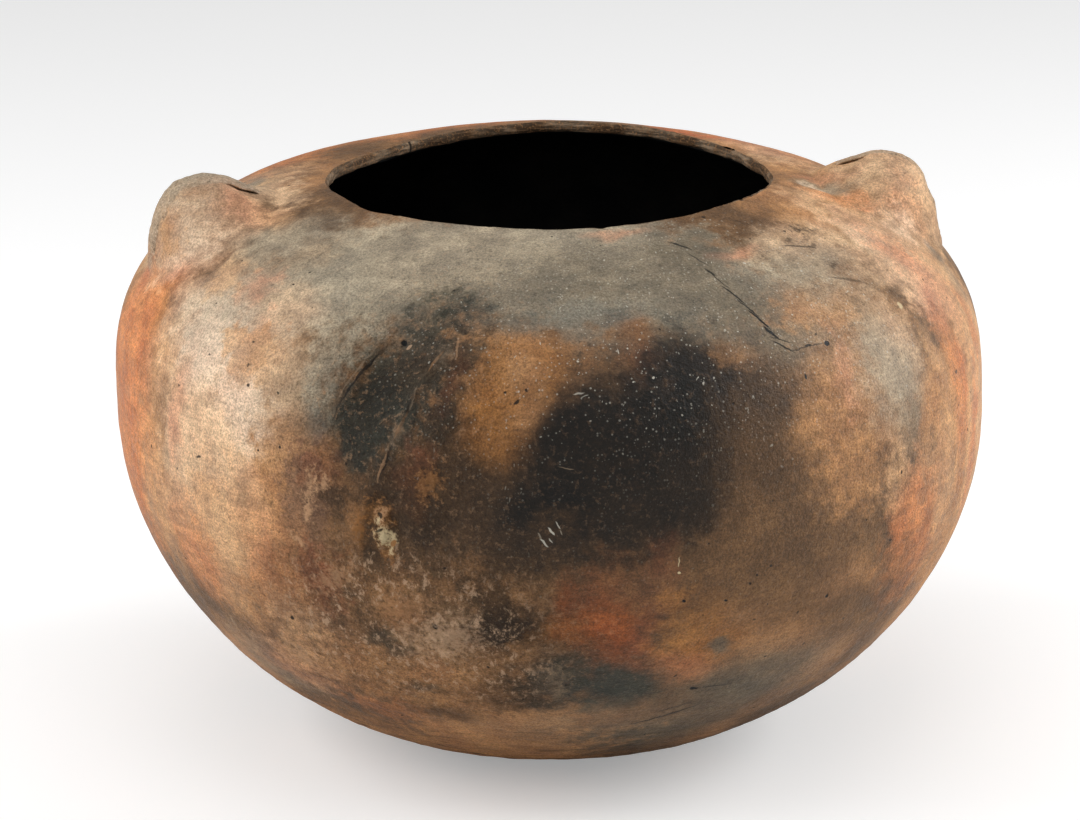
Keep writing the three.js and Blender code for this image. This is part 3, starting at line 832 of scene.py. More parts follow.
def layer(name, inputs, outputs):
    """A node group to be filled: its tree and the sockets that bring its inputs."""
    tree = bpy.data.node_groups.new(name, "ShaderNodeTree")
    for side, sockets in (("INPUT", inputs), ("OUTPUT", outputs)):
        for label, kind in sockets.items():
            tree.interface.new_socket(name=label, in_out=side, socket_type="NodeSocket" + kind)
    return tree, tree.nodes.new("NodeGroupInput").outputs


def close_layer(tree, *values):
    """Ends a layer with the values that it gives."""
    out = tree.nodes.new("NodeGroupOutput")
    for number, value in enumerate(values):
        tree.links.new(value, out.inputs[number])


def put_layer(tree, group, *values):
    """Uses a layer in another tree and returns the outputs that it gives."""
    return add(tree, "Group", dict(enumerate(values)), node_tree=group).outputs


# How many times its own half size a stain or a mark reaches before it is gone, and how far
# it reaches through the wall, in millimetres
STAIN_REACH, STAIN_DEPTH = 2.4, 180


def stain_and_highlight_layer(name, stains):
    """A layer of fire clouds, and in places painted highlights, each laid over the ones before it."""
    sockets = {"Place": "Vector", "Soft edge": "Float", "Torn edge": "Float", "Colour": "Color"}
    tree, given = layer(name, sockets, {"Colour": "Color"})
    colour = given["Colour"]
    edges = given["Soft edge"], given["Torn edge"]
    for azimuth, distance, wide, high, lean, clay, strength, softness, torn in stains:
        reach = wide * STAIN_REACH, high * STAIN_REACH
        near = nearness(tree, given["Place"], azimuth, distance, *reach, lean, STAIN_DEPTH)
        inside = reckon(tree, "MULTIPLY_ADD", near, 2.0, edges[torn])
        share = between(tree, inside, 0, softness, 0, strength)
        colour = laid_over(tree, share, colour, clay_colour(clay))
    close_layer(tree, colour)
    return tree


MARK_REACH_ACROSS, MARK_REACH_DOWN, MARK_DEPTH = 3, 2.6, 60
# Half the width, in millimetres, up to which a mark has a crisp edge
CRISP_UP_TO = 1.55


def mark_layer(name, marks):
    """A layer of small damage, and in places of painted light and shade: small marks have a crisp edge,
    larger ones a crumbled one.
    """
    sockets = {"Place": "Vector", "Crumble": "Float", "Colour": "Color", "Height": "Float"}
    tree, given = layer(name, sockets, {"Colour": "Color", "Height": "Float"})
    colour, height = given["Colour"], given["Height"]
    crisp_edge = reckon(tree, "MULTIPLY_ADD", given["Crumble"], 0.6, -1)
    torn_edge = reckon(tree, "MULTIPLY_ADD", given["Crumble"], 3.4, -1.1)
    for azimuth, distance, wide, high, lean, clay, strength, *depth in marks:
        edge, fade = (torn_edge, 0.9) if min(wide, high) > CRISP_UP_TO else (crisp_edge, 0.4)
        reach = wide * MARK_REACH_ACROSS, high * MARK_REACH_DOWN
        near = nearness(tree, given["Place"], azimuth, distance, *reach, lean, MARK_DEPTH)
        inside = reckon(tree, "MULTIPLY_ADD", near, 2.0, edge)
        share = between(tree, inside, 0.0, fade, 0, strength)
        colour = laid_over(tree, share, colour, clay_colour(clay))
        if depth:
            height = reckon(tree, "MULTIPLY_ADD", share, -depth[0], height)
    close_layer(tree, colour, height)
    return tree


def in_millimetres(tree):
    """The place on the jar, in millimetres."""
    spot = add(tree, "TexCoord", {}).outputs["Object"]
    return add(tree, "VectorMath", {0: spot, "Scale": 1 / MM}, operation="SCALE").outputs[0]


def wander(tree, place, steps):
    """Shifts places about, a different way every so many millimetres."""
    moved = place
    for grain, reach in steps:
        shift = noise(tree, place, grain, 1.5, 0.5, output=1)
        shift = add(tree, "VectorMath", {0: shift, 1: (0.5, 0.5, 0.5)}, operation="SUBTRACT").outputs[0]
        shift = add(tree, "VectorMath", {0: shift, "Scale": reach}, operation="SCALE").outputs[0]
        moved = add(tree, "VectorMath", {0: moved, 1: shift}).outputs[0]
    return moved


def flecks(tree, place, cell, small, large, rare):
    """Small round spots scattered one to a cell, where chance puts one there."""
    cells = add(tree, "TexVoronoi", {"Vector": place, "Scale": 1 / cell})
    chance = add(tree, "SeparateColor", {0: cells.outputs["Color"]}).outputs
    size = between(tree, chance[1], 0, 1, small, large)
    spot = reckon(tree, "SUBTRACT", size, cells.outputs["Distance"])
    spot = between(tree, spot, 0, small * 0.7)
    return reckon(tree, "MULTIPLY", spot, between(tree, chance[0], rare, rare + 0.04))


def paint_fired_clay():
    """The clay as it came out of the fire and as use has left it, over the whole jar, with painted
    highlights and shade in places.
    """
    tree, _ = layer("fired_clay", {}, {"Colour": "Color", "Roughness": "Float", "Height": "Float"})
    place = in_millimetres(tree)
    wandering = wander(tree, place, ((28, 20), (8, 7), (2, 2.2)))
    slightly = wander(tree, place, ((3, 1.6),))

    # The plain body: tan clay that the fire turned browner here and there
    broad = noise(tree, place, 70, 2, 0.5)
    mottle = noise(tree, place, 7, 4, 0.62)
    fine = noise(tree, place, 2.4, 4, 0.7)
    colour = laid_over(tree, between(tree, broad, 0.4, 0.62), clay_colour("tan"), clay_colour("brown"))
    soft_edge = reckon(tree, "MULTIPLY_ADD", mottle, 0.7, -1.35)
    torn_edge = reckon(tree, "MULTIPLY_ADD", mottle, 2.0, -2.0)
    for name, stains in STAINS_AND_PAINTED_HIGHLIGHTS.items():
        group = stain_and_highlight_layer("stains_" + name, stains)
        colour = put_layer(tree, group, wandering, soft_edge, torn_edge, colour)[0]

    # Uneven burning, the drag of the pebble and the grain of the clay
    cloudy = noise(tree, place, 17, 3, 0.6)
    cool, warm = (0.36, 0.365, 0.36, 1), (0.64, 0.61, 0.55, 1)
    tint = laid_over(tree, between(tree, cloudy, 0.3, 0.72), cool, warm)
    colour = laid_over(tree, 1.0, colour, tint, "SOFT_LIGHT")
    streak = noise(tree, stretched(tree, place, 0.12, 0.12, 1.0), 2.2, 2, 0.6)
    grain = noise(tree, place, 0.9, 2, 0.8)
    tone = reckon(
        tree, "MULTIPLY",
        between(tree, grain, 0.28, 0.72, 0.64, 1.34), between(tree, streak, 0.3, 0.7, 0.90, 1.10),
    )
    tone = reckon(tree, "MULTIPLY", tone, between(tree, mottle, 0.3, 0.7, 0.84, 1.16))
    shade = add(tree, "CombineColor", {0: tone, 1: tone, 2: tone}).outputs[0]
    colour = laid_over(tree, 1.0, colour, shade, "MULTIPLY")

    # Where the burnish has worn through, pale grit shows on the high spots of the fine relief, and
    # painted shade darkens its low spots
    slate = nearness(tree, wandering, -28, 118, 66, 125, 20, 110)
    flaked = nearness(tree, wandering, -27, 208, 110, 80, 0, 110)
    worn = reckon(tree, "MAXIMUM", slate, flaked)
    rough = between(tree, worn, 0.1, 0.6)
    pale = between(tree, worn, 0, 0.6, 0.10, 0.34)
    pale = reckon(tree, "MULTIPLY", between(tree, fine, 0.53, 0.70), pale)
    colour = laid_over(tree, pale, colour, clay_colour("light_tan"))
    dark = between(tree, worn, 0, 0.6, 0.35, 0.55)
    dark = reckon(tree, "MULTIPLY", between(tree, fine, 0.46, 0.30), dark)
    colour = laid_over(tree, dark, colour, clay_colour("dark_brown"))

    # The crust of pale flakes that is left under the burst spot, drawn out the way it slid, with painted
    # shade in the gaps between the flakes
    crust = noise(tree, stretched(tree, slightly, 1.3, 1.0, 0.75), 4.2, 5, 0.72)
    crusty = between(tree, flaked, 0.28, 0.65)
    painted_shade_between_flakes = reckon(tree, "MULTIPLY", between(tree, crust, 0.47, 0.38, 0, 0.35), crusty)
    colour = laid_over(tree, painted_shade_between_flakes, colour, clay_colour("dark_brown"))
    crust = reckon(tree, "MULTIPLY", between(tree, crust, 0.53, 0.64, 0, 0.62), crusty)
    colour = laid_over(tree, crust, colour, clay_colour("buff"))

    # White grit and scuffs, thickest on the sooted shoulder, and pits where grit burnt out
    around = nearness(tree, wandering, 14, 54, 170, 84, 0, 150)
    dense = between(tree, around, 0.05, 0.6, 0.1, 0.85)
    dense = reckon(tree, "MULTIPLY", dense, between(tree, mottle, 0.35, 0.6, 0.5, 1.0))
    dust = flecks(tree, place, 1.5, 0.12, 0.34, 0.5)
    speck = flecks(tree, slightly, 4.2, 0.07, 0.15, 0.45)
    drawn_out = stretched(tree, wander(tree, place, ((9, 9),)), 1.3, 0.4, 0.4)
    scuff = flecks(tree, drawn_out, 3.4, 0.07, 0.12, 0.3)
    dust = reckon(tree, "MULTIPLY", dust, 0.55)
    speck = reckon(tree, "MAXIMUM", reckon(tree, "MAXIMUM", speck, scuff), dust)
    speck = reckon(tree, "MULTIPLY", speck, dense)
    colour = laid_over(tree, speck, colour, clay_colour("white_grit"))
    pit = flecks(tree, slightly, 9, 0.03, 0.085, 0.5)
    colour = laid_over(tree, reckon(tree, "MULTIPLY", pit, 0.9), colour, clay_colour("umber"))
    height = reckon(tree, "MULTIPLY", pit, -0.6)

    # Strokes of the scraper round the underside
    low = add(tree, "SeparateXYZ", {0: place}).outputs[2]
    under = between(tree, low, 58, 20)
    stroke = noise(tree, stretched(tree, place, 0.07, 0.07, 0.8), 1.1, 2, 0.6)
    stroke = reckon(tree, "MULTIPLY", between(tree, stroke, 0.56, 0.72), under)
    colour = laid_over(tree, reckon(tree, "MULTIPLY", stroke, 0.8), colour, clay_colour("umber"))
    height = reckon(tree, "MULTIPLY_ADD", stroke, -0.35, height)

    crumble = reckon(tree, "SUBTRACT", fine, 0.5)
    for name, marks in MARKS.items():
        group = mark_layer("marks_" + name, marks)
        colour, height = put_layer(tree, group, slightly, crumble, colour, height)
    height = reckon(tree, "MULTIPLY_ADD", grain, 0.22, height)
    height = reckon(tree, "MULTIPLY_ADD", mottle, between(tree, rough, 0, 1, 0.6, 2.0), height)
    relief_share = between(tree, reckon(tree, "MAXIMUM", rough, under), 0, 1, 0.9, 3.6)
    height = reckon(tree, "MULTIPLY_ADD", fine, relief_share, height)
    dull_below = between(tree, under, 0, 1, 0, 0.2)
    gloss = reckon(tree, "ADD", between(tree, mottle, 0.3, 0.7, 0.38, 0.54), dull_below)
    gloss = reckon(tree, "ADD", gloss, between(tree, fine, 0.3, 0.7, 0.08, -0.02))
    gloss = reckon(tree, "MULTIPLY_ADD", rough, 0.2, gloss)
    close_layer(tree, colour, gloss, height)
    return tree


fired_clay = paint_fired_clay()


def clay_material(name, drawn, sheen):
    """A clay material, its colour, roughness and height in millimetres drawn by nodes."""
    material = bpy.data.materials.new(name)
    material.use_nodes = True
    tree = material.node_tree
    shader = tree.nodes["Principled BSDF"]
    colour, roughness, height = drawn(tree)
    bump = add(tree, "Bump", {"Strength": 1.0, "Distance": MM, "Height": height}).outputs[0]
    shader.inputs["Specular IOR Level"].default_value = sheen
    tree.links.new(colour, shader.inputs["Base Color"])
    tree.links.new(roughness, shader.inputs["Roughness"])
    tree.links.new(bump, shader.inputs["Normal"])
    return material


def as_fired(tree):
    """Colour, roughness and height of the fired clay, for any piece of the jar."""
    return tuple(put_layer(tree, fired_clay))


def near_black_inside(tree):
    """The inside, nearly black all over, with patches a little lighter and a fine grain."""
    place = in_millimetres(tree)
    patch = noise(tree, place, 30, 4, 0.6)
    grain = noise(tree, place, 1.4, 4, 0.7)
    dark, lighter = (0.004, 0.004, 0.004, 1), (0.014, 0.012, 0.010, 1)
    colour = laid_over(tree, between(tree, patch, 0.35, 0.7), dark, lighter)
    return colour, between(tree, grain, 0.2, 0.8, 0.75, 0.95), reckon(tree, "MULTIPLY", grain, 0.4)


burnished = clay_material("burnished_clay", as_fired, 0.24)
inside_clay = clay_material("near_black_inside_clay", near_black_inside, 0.2)

for name, (upper, lower) in RING_SEAMS.items():
    piece = closed_ring(name + "_clay", ring_bands(upper, lower))
    piece.data.materials.append(burnished)
    piece.data.materials.append(inside_clay)
    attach(piece, "root")
    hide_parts(name)


# THE BASE. A slab of clay pressed over a shallow form, the thickest part of the jar. The
# small flat that it stands on was only worn level, and the underside keeps the scraper's
# long strokes and the grit that it dragged along.

base_outer = shell_distances >= seams[-1] - 1e-6
base_inner_rows = rows_between(HOLLOW_LENGTH - 6, seams[-1] + SEAM_LAP, INNER_ROW_STEP)
base_inside = inner_face(base_inner_rows)
base_piece = closed_ring(
    "base_bowl_clay",
    [
        (shell_places[base_outer], shell_facing[base_outer], OUTSIDE),
        (base_inside, facing(base_inside), INSIDE),
    ],
    poles=[(0, 0, 0.1), (0, 0, base_inside[0, :, 2].mean())],
)


def scraped_below(tree):
    """The fired clay again, with deeper scraping that begins only below the last seam."""
    colour, roughness, height = as_fired(tree)
    place = in_millimetres(tree)
    low = between(tree, add(tree, "SeparateXYZ", {0: place}).outputs[2], 24, 6)
    drag = noise(tree, stretched(tree, place, 0.06, 0.5, 0.5), 0.9, 3, 0.6)
    drag = reckon(tree, "MULTIPLY", between(tree, drag, 0.5, 0.68), low)
    colour = laid_over(tree, reckon(tree, "MULTIPLY", drag, 0.5), colour, clay_colour("dark_brown"))
    worn = between(tree, add(tree, "SeparateXYZ", {0: place}).outputs[2], 1.6, 0.2)
    colour = laid_over(tree, reckon(tree, "MULTIPLY", worn, 0.55), colour, clay_colour("buff"))
    roughness = reckon(tree, "MULTIPLY_ADD", low, 0.12, roughness)
    return colour, roughness, reckon(tree, "MULTIPLY_ADD", drag, -0.4, height)


base_piece.data.materials.append(clay_material("scraped_clay", scraped_below, 0.25))
base_piece.data.materials.append(inside_clay)
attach(base_piece, "root")
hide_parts("base_bowl")


# THE LIP. The last coil of clay, drawn in level with the shoulder. Its inner side was cut
# upright with a blade when leather-hard and never burnished, so it shows the coarse body
# of the clay, and its edges have chipped since.

CUT_ROWS = 7


def chipping(azimuth, seed):
    """Little bites out of an edge of the lip, from 0 to 1."""
    around = np.stack([np.sin(azimuth), -np.cos(azimuth), 0 * azimuth], -1) * MOUTH_RADIUS
    return smooth(0.30, 0.62, 0.6 * lumps(around, 9, seed) + 0.4 * lumps(around, 3.5, seed + 1))


def lip_sheet():
    """Rows from the inside seam up to the mouth, over its cut face and out to the seam."""
    inside = inner_face(rows_between(LIP_WIDTH + SEAM_LAP, 1.5, 2.5))
    depth = np.linspace(0, 1, CUT_ROWS)[:, None]
    azimuth = np.broadcast_to(column_azimuth, (CUT_ROWS, COLUMNS))
    outward, upward = lip_shift(azimuth)
    round_off = 0.9 * (1 - smooth(0, 0.22, depth) * smooth(1, 0.78, depth))
    chips = 1.1 * chipping(azimuth, 41) * smooth(0.5, 1, depth)
    chips = chips + 0.9 * chipping(azimuth, 43) * smooth(0.5, 0, depth)
    r = MOUTH_RADIUS + outward + round_off + chips
    z = RIM_HEIGHT - LIP + upward + 0.3 + (LIP - 0.75) * depth
    rough = on_the_jar(azimuth, r, z)
    r = r + 0.22 * lumps(rough, 2.6, 45) + 0.3 * lumps(rough, 7, 46)
    cut = on_the_jar(azimuth, r, z)
    outside = shell_places[shell_distances <= LIP_WIDTH + 1e-6].copy()
    edge = smooth(4, LIP_EDGE, shell_distances[: len(outside)])[:, None]
    outside[..., 2] -= 0.5 * edge * chipping(column_azimuth, 41)
    sheet = np.concatenate([inside, cut, outside])
    finish = [INSIDE] * len(inside) + [CUT] * CUT_ROWS + [OUTSIDE] * len(outside)
    normals = facing(sheet)
    settled = 3
    normals[-settled:] = shell_facing[: len(outside)][-settled:]
    return sheet, normals, np.array(finish)


LIP_CRACKS = mark_layer("marks_lip_cracks", (
    (-147, 3, 0.6, 4.5, 0, "soot", 0.9),
    (149, 2.4, 9, 0.45, 4, "soot", 0.9),
    (139, 2.8, 7, 0.40, -6, "soot", 0.8),
    (172, 3.4, 8, 0.35, 3, "umber", 0.6),
    (-170, 2.2, 10, 0.35, -3, "umber", 0.6),
))


def bare_cut(tree):
    """The coarse body of the clay, laid bare by the blade and never smoothed."""
    place = in_millimetres(tree)
    drag = noise(tree, stretched(tree, place, 0.14, 0.14, 1.0), 1.3, 3, 0.6)
    grit = noise(tree, place, 1.0, 3, 0.7)
    patch = noise(tree, place, 13, 3, 0.6)
    patch = between(tree, patch, 0.36, 0.64)
    colour = laid_over(tree, patch, clay_colour("brown"), clay_colour("warm_grey"))
    colour = laid_over(tree, between(tree, drag, 0.42, 0.66, 0.75, 0), colour, clay_colour("umber"))
    colour = laid_over(tree, between(tree, grit, 0.5, 0.7, 0, 0.6), colour, clay_colour("tan"))
    colour = put_layer(tree, LIP_CRACKS, place, reckon(tree, "SUBTRACT", grit, 0.5), colour)[0]
    height = reckon(tree, "MULTIPLY_ADD", grit, 0.6, reckon(tree, "MULTIPLY", drag, 0.8))
    return colour, between(tree, grit, 0.2, 0.8, 0.7, 0.95), height


lip_piece = closed_ring("lip_coil_clay", [lip_sheet()])
for material in (burnished, inside_clay, clay_material("bare_lip_clay", bare_cut, 0.2)):
    lip_piece.data.materials.append(material)
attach(lip_piece, "root")
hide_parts("lip_coil")


# THE LUGS. Two solid ears of clay, luted upright on the shoulder left and right and
# smoothed into it by hand, so that no edge shows round their feet. A bed is pressed into
# the crest of each for the strap that lies over it.

LUG_MIDDLE, LUG_HALF_LENGTH, LUG_HALF_WIDTH = 54.0, 34.0, 44.0
LUG_RINGS, LUG_SPOKES = 44, 180
STRAP_HALF_WIDTH = 9.0
STRAP_TIP, STRAP_ROOT = 29.0, 86.0
CREST_SOFTENING = 37

# How high each lug stands over the wall, from the mouth down: distance and height
LEFT_CREST = (
    (20, 0), (26, 3), (32, 7), (36, 11), (40, 15.5), (45, 19), (50, 21.7), (57, 23.4),
    (62, 22), (66, 20), (69, 17.5), (72, 14.8), (78, 9), (83, 4), (88, 0),
)
RIGHT_CREST = (
    (20, 0), (25, 5), (30, 9), (35, 12.5), (40, 17), (45, 20), (51, 21.6), (56, 21.5),
    (61, 19.8), (68, 14), (72, 12), (78, 6), (82, 3.6), (88, 0),
)

# The side of the jar, the crest, how far back of the lug's middle its strap lies, the
# distances between which its crevice and its slit run, and a seed for its unevenness
LUGS = {
    "left": {
        "side": -1, "crest": LEFT_CREST, "strap": 0.0, "crevice": (61, 84), "slit": (29, 42), "seed": 50,
    },
    "right": {
        "side": 1, "crest": RIGHT_CREST, "strap": 5.0, "crevice": (60, 92), "slit": (27, 39), "seed": 60,
    },
}


def crest_height(lug, distance):
    """Height of the crest over the wall: a smooth line through the measured heights."""
    places, heights = np.array(lug["crest"], dtype=float).T
    fine = np.linspace(places[0], places[-1], 400)
    softening = np.hanning(CREST_SOFTENING) / np.hanning(CREST_SOFTENING).sum()
    line = np.interp(fine, places, heights)
    line = np.pad(line, CREST_SOFTENING // 2, mode="reflect", reflect_type="odd")
    line = np.convolve(line, softening, "valid")
    return np.maximum(np.interp(distance, fine, line), 0)


def over_the_shoulder(lug, distance, sideways, height):
    """Places over the outer face, sideways being round the jar from the lug's middle.

    Sideways runs from the front of the jar towards its back, on both sides alike.
    """
    r, z, across, up = section_at(shell_line, distance)
    azimuth = lug["side"] * (math.pi / 2 + sideways / r)
    height = height + relief(azimuth, distance)
    return on_the_jar(azimuth, r + height * across, z + height * up)


def lug_swell(lug, distance, sideways):
    """Height of the lug over the wall, with nothing yet pressed into it."""
    place = np.clip((distance - LUG_MIDDLE) / LUG_HALF_LENGTH, -1, 1)
    reach = LUG_HALF_WIDTH * np.sqrt(np.maximum(1 - place**2, 1e-6))
    share = np.clip(np.abs(sideways) / reach, 0, 1)
    return crest_height(lug, distance) * (1 - share**2) ** 3


def strap_width(lug, distance):
    """Half the width of the strap, which narrows to its tip and has ragged edges."""
    narrow = smooth(STRAP_TIP - 4, STRAP_TIP + 22, distance)
    narrow = narrow * smooth(STRAP_ROOT + 8, STRAP_ROOT - 8, distance)
    edge = np.stack([distance, 0 * distance, 0 * distance], -1)
    return STRAP_HALF_WIDTH * (0.3 + 0.7 * narrow) + 0.7 * lumps(edge, 4, lug["seed"] + 3)


def strap_thickness(distance):
    """How thick the strap is, thinning towards its tip."""
    return 0.9 + 2.3 * smooth(38, 55, distance)


def slit_depth(lug, distance, sideways):
    """The slit under the strap's tip: open towards the front, closed towards the back."""
    start, end = lug["slit"]
    length = np.sin(math.pi * np.clip((distance - start) / (end - start), 0, 1)) ** 0.7
    depth = smooth(-13, -7, sideways) * smooth(6, -1, sideways)
    return 2.3 * length * depth


def lug_piece(name, lug):
    """One lug: its swell, the bed for its strap, the crevice beside it and the slit."""
    spread = np.linspace(0, 1, LUG_RINGS + 1)[1:, None]
    turn = np.linspace(0, 2 * math.pi, LUG_SPOKES, endpoint=False)[None, :]
    distance = np.concatenate([[0.0], (LUG_HALF_LENGTH * spread * np.cos(turn)).ravel()]) + LUG_MIDDLE
    sideways = np.concatenate([[0.0], (LUG_HALF_WIDTH * spread * np.sin(turn)).ravel()])
    rim = np.concatenate([[0.0], np.broadcast_to(spread, (LUG_RINGS, LUG_SPOKES)).ravel()])
    swell = lug_swell(lug, distance, sideways)
    middle = over_the_shoulder(lug, distance, sideways, swell)
    uneven = 0.5 * lumps(middle, 12, lug["seed"]) + 0.25 * lumps(middle, 5, lug["seed"] + 1)
    uneven = uneven + 0.12 * lumps(middle, 2.2, lug["seed"] + 2)
    from_strap = np.abs(sideways - lug["strap"]) - strap_width(lug, distance)
    under_strap = smooth(-0.8, -2.2, from_strap) * smooth(STRAP_TIP - 1, STRAP_TIP + 1, distance)
    bed = under_strap * (strap_thickness(distance) + 0.2)
    start, end = lug["crevice"]
    crevice = np.exp(-(((from_strap - 0.2) / 1.1) ** 2)) * smooth(start - 5, start + 3, distance)
    crevice = crevice * smooth(end + 2, end - 6, distance)
    crevice = crevice * (0.8 + 0.6 * lumps(middle, 3.5, lug["seed"] + 6))
    height = swell - bed - 1.5 * np.maximum(crevice, 0) - slit_depth(lug, distance, sideways)
    height = np.maximum(height, 0.2) + uneven * smooth(1, 0.75, rim) * smooth(0, 6, swell)
    height = height - 0.6 * smooth(0.88, 1, rim)
    top = over_the_shoulder(lug, distance, sideways, height)
    under = over_the_shoulder(lug, distance, sideways, np.full_like(height, -0.8))
    return two_faced(name, lug["side"], top, under)


def two_faced(name, side, top, under):
    """A pad of clay from a top and an underside that share one pattern of rings."""
    spokes = np.arange(LUG_SPOKES)
    after = (spokes + 1) % LUG_SPOKES
    faces = [[0, 1 + a, 1 + b] for a, b in zip(spokes, after)]
    for ring in range(1, LUG_RINGS):
        inner, outer = 1 + (ring - 1) * LUG_SPOKES, 1 + ring * LUG_SPOKES
        faces += [[inner + a, outer + a, outer + b, inner + b] for a, b in zip(spokes, after)]
    count = len(top)
    faces += [[count + i for i in reversed(face)] for face in faces]
    edge = 1 + (LUG_RINGS - 1) * LUG_SPOKES
    faces += [[edge + a, count + edge + a, count + edge + b, edge + b] for a, b in zip(spokes, after)]
    if side < 0:
        faces = [face[::-1] for face in faces]
    faces = [[int(i) for i in face] for face in faces]
    return clay_piece(name, np.concatenate([top, under]), faces, None, np.zeros(len(faces)))


def thumbed(tree):
    """The fired clay again, worked over with wet fingers instead of the pebble."""
    colour, roughness, height = as_fired(tree)
    place = in_millimetres(tree)
    dents = noise(tree, place, 4.5, 3, 0.6)
    colour = laid_over(tree, between(tree, dents, 0.35, 0.65, 0.18, 0), colour, clay_colour("brown"))
    roughness = reckon(tree, "ADD", roughness, 0.1)
    return colour, roughness, reckon(tree, "MULTIPLY_ADD", dents, 0.5, height)


lug_clay = clay_material("tan_lug_clay", thumbed, 0.28)
for label, lug in LUGS.items():
    piece = lug_piece(label + "_lug_clay", lug)
    piece.data.materials.append(lug_clay)
    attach(piece, "root")
    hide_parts(label + "_lug")


# THE STRAPS. A strap of coarser clay pressed over the crest of each lug from its outer
# foot to a thin tip near the mouth. It was never rubbed smooth, and its tip has lifted
# in the firing, which leaves a dark slit under it.

STRAP_STEPS, STRAP_STRIPS = 96, 32


def strap_piece(name, lug):
    """One strap, lying in its bed, with ragged edges and a tip that stands off."""
    along_strap = np.linspace(STRAP_TIP, STRAP_ROOT, STRAP_STEPS)[:, None]
    strip = np.linspace(-1, 1, STRAP_STRIPS)[None, :]
    distance, strip = np.broadcast_arrays(along_strap, strip)
    sideways = lug["strap"] + strip * strap_width(lug, distance)
    swell = lug_swell(lug, distance, sideways)
    middle = over_the_shoulder(lug, distance, sideways, swell)
    grit = 0.30 * lumps(middle, 4, lug["seed"] + 4) + 0.28 * lumps(middle, 1.8, lug["seed"] + 5)
    edge = smooth(1.0, 0.82, np.abs(strip))
    slit = slit_depth(lug, distance, np.minimum(sideways, -4))
    held_down = 1 - smooth(0.3, 1.2, slit)
    ends = smooth(STRAP_TIP - 1, STRAP_TIP + 3, distance) * smooth(STRAP_ROOT, STRAP_ROOT - 4, distance)
    top_height = swell + grit * edge * ends - 0.9 * (1 - edge) * held_down - 0.8 * (1 - ends)
    top = over_the_shoulder(lug, distance, sideways, top_height)
    under_height = swell - strap_thickness(distance) - 0.4 * (1 - ends)
    under = over_the_shoulder(lug, distance, sideways, under_height)
    rows, columns = distance.shape
    grid = np.arange(rows * columns).reshape(rows, columns)
    count = rows * columns
    faces = np.stack([grid[:-1, :-1], grid[1:, :-1], grid[1:, 1:], grid[:-1, 1:]], -1)
    faces = faces.reshape(-1, 4).tolist()
    faces += [[count + i for i in reversed(face)] for face in faces]
    border = [*grid[0, :-1], *grid[:-1, -1], *grid[-1, :0:-1], *grid[:0:-1, 0]]
    faces += [[a, b, count + b, count + a] for a, b in zip(border, border[1:] + border[:1])]
    if lug["side"] > 0:
        faces = [face[::-1] for face in faces]
    faces = [[int(i) for i in face] for face in faces]
    places = np.concatenate([top.reshape(-1, 3), under.reshape(-1, 3)])
    return clay_piece(name, places, faces, None, np.zeros(len(faces)))


def gritty(tree):
    """Coarse clay left rough, grey with wood ash that has caught in its grit."""
    colour, roughness, _ = as_fired(tree)
    place = in_millimetres(tree)
    grit = noise(tree, place, 1.3, 4, 0.75)
    lump = noise(tree, place, 5, 3, 0.6)
    colour = laid_over(tree, between(tree, lump, 0.3, 0.6, 0.2, 0.5), colour, clay_colour("grey"))
    colour = laid_over(tree, between(tree, grit, 0.44, 0.34, 0, 0.7), colour, clay_colour("dark_brown"))
    colour = laid_over(tree, between(tree, grit, 0.5, 0.66, 0, 0.75), colour, clay_colour("pale_buff"))
    height = reckon(tree, "MULTIPLY_ADD", grit, 1.1, reckon(tree, "MULTIPLY", lump, 0.6))
    return colour, between(tree, grit, 0.2, 0.8, 0.75, 0.95), height


strap_clay = clay_material("rough_strap_clay", gritty, 0.2)
for label, lug in LUGS.items():
    piece = strap_piece(label + "_lug_strap_clay", lug)
    piece.data.materials.append(strap_clay)
    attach(piece, "root")
    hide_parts(label + "_lug_strap")


# THE STUDIO. Not part of the jar: a plain pale floor, four softboxes and the camera, which
# stands where the photographer stood, a little left of the front and a little above.

PHOTO_WIDTH = 1080
FOCAL_IN_PIXELS = 5774
VIEW_AZIMUTH = math.radians(-7)
VIEW_ELEVATION = math.radians(17)
VIEW_DISTANCE = 2.5
SENSOR_WIDTH = 36
JAR_MIDDLE = Vector((0, 0, 0.1226))
AIM_LEFT, AIM_ABOVE = 0.0039, 0.016
LAMP_AIM = Vector((0, 0, 0.13))

scene = bpy.context.scene
scene.view_settings.view_transform = "Standard"


def put_in_scene(name, data):
    """A new object of the scene that holds this data."""
    placed = bpy.data.objects.new(name, data)
    scene.collection.objects.link(placed)
    placed.rotation_mode = "QUATERNION"
    return placed


def standing_at(azimuth, elevation, distance):
    """Where something stands that is seen from the jar in this direction."""
    reach = distance * math.cos(elevation)
    return Vector((reach * math.sin(azimuth), -reach * math.cos(azimuth), distance * math.sin(elevation)))


# The picture is centred a little above and to the left of the jar's own middle
backward = standing_at(VIEW_AZIMUTH, VIEW_ELEVATION, 1)
to_the_right = Vector((math.cos(VIEW_AZIMUTH), math.sin(VIEW_AZIMUTH), 0))
view_up = backward.cross(to_the_right)
aim = JAR_MIDDLE - to_the_right * AIM_LEFT + view_up * AIM_ABOVE

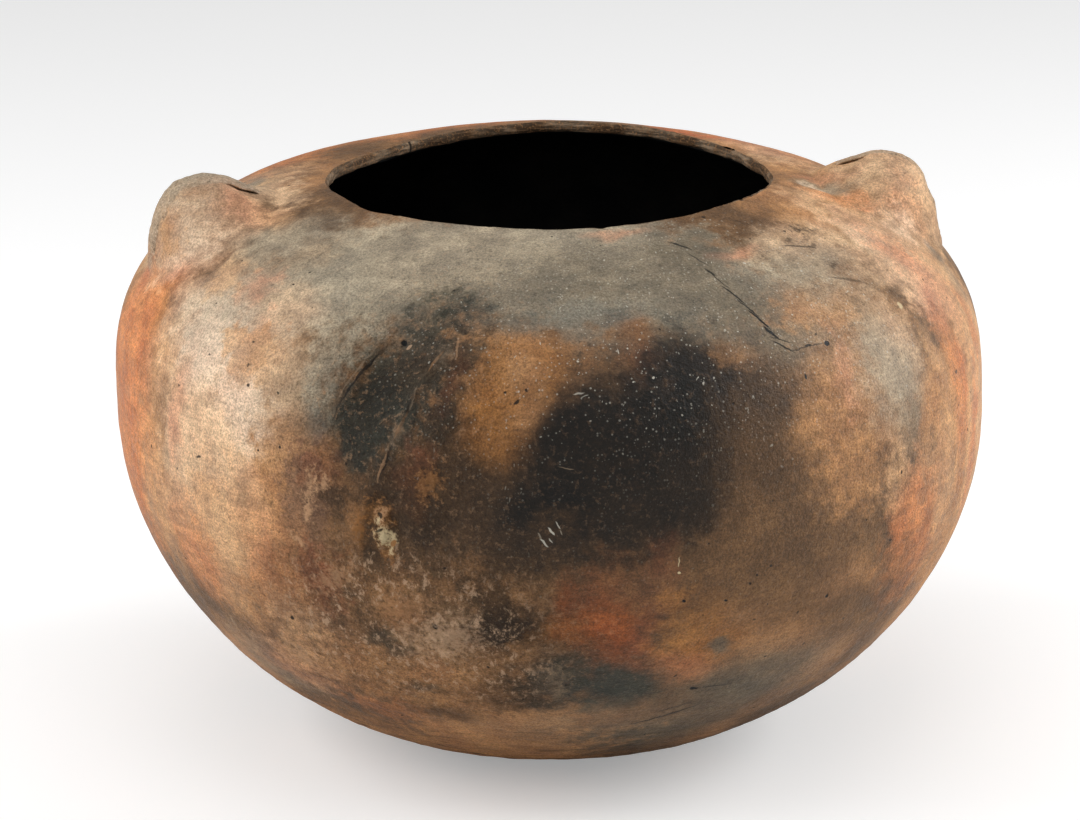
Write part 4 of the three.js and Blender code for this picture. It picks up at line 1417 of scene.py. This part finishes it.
camera = put_in_scene("camera", bpy.data.cameras.new("camera"))
camera.location = aim + backward * VIEW_DISTANCE
camera.rotation_quaternion = (-backward).to_track_quat("-Z", "Y")
camera.data.sensor_width = SENSOR_WIDTH
camera.data.lens = FOCAL_IN_PIXELS / PHOTO_WIDTH * SENSOR_WIDTH
camera.data.clip_start = 0.1
camera.data.clip_end = 50
scene.camera = camera

floor_mesh = bpy.data.meshes.new("floor")
floor_mesh.from_pydata([(-6, -6, 0), (6, -6, 0), (6, 6, 0), (-6, 6, 0)], [], [(0, 1, 2, 3)])
put_in_scene("floor", floor_mesh)
floor_paint = bpy.data.materials.new("floor")
floor_paint.use_nodes = True
floor_mesh.materials.append(floor_paint)
floor_tree = floor_paint.node_tree
floor_shader = floor_tree.nodes["Principled BSDF"]
floor_shader.inputs["Base Color"].default_value = (0.8, 0.8, 0.8, 1)
floor_shader.inputs["Roughness"].default_value = 0.9
floor_shader.inputs["Emission Color"].default_value = (1, 1, 1, 1)
seen_by_camera = add(floor_tree, "LightPath", {}).outputs["Is Camera Ray"]
floor_tree.links.new(
    reckon(floor_tree, "MULTIPLY", seen_by_camera, 0.3), floor_shader.inputs["Emission Strength"]
)

# Softboxes: direction and height in degrees, distance and size in metres, power in watts
SOFTBOXES = {
    "left_softbox": (-90, 30, 1.7, 1.2, 19.5),
    "right_softbox": (90, 24, 1.7, 1.1, 24),
    "top_softbox": (-20, 72, 1.7, 1.3, 6),
    "front_softbox": (-20, 26, 2.2, 1.2, 6),
}
for name, (azimuth, elevation, distance, size, power) in SOFTBOXES.items():
    lamp = bpy.data.lights.new(name, "AREA")
    lamp.size = size
    lamp.energy = power
    away = standing_at(math.radians(azimuth), math.radians(elevation), distance)
    light = put_in_scene(name, lamp)
    light.location = LAMP_AIM + away
    light.rotation_quaternion = away.to_track_quat("Z", "Y")

world = bpy.data.worlds.new("world")
world.use_nodes = True
scene.world = world
sky = world.node_tree.nodes["Background"]
sky.inputs["Color"].default_value = (1, 1, 1, 1)
sky.inputs["Strength"].default_value = 0.3
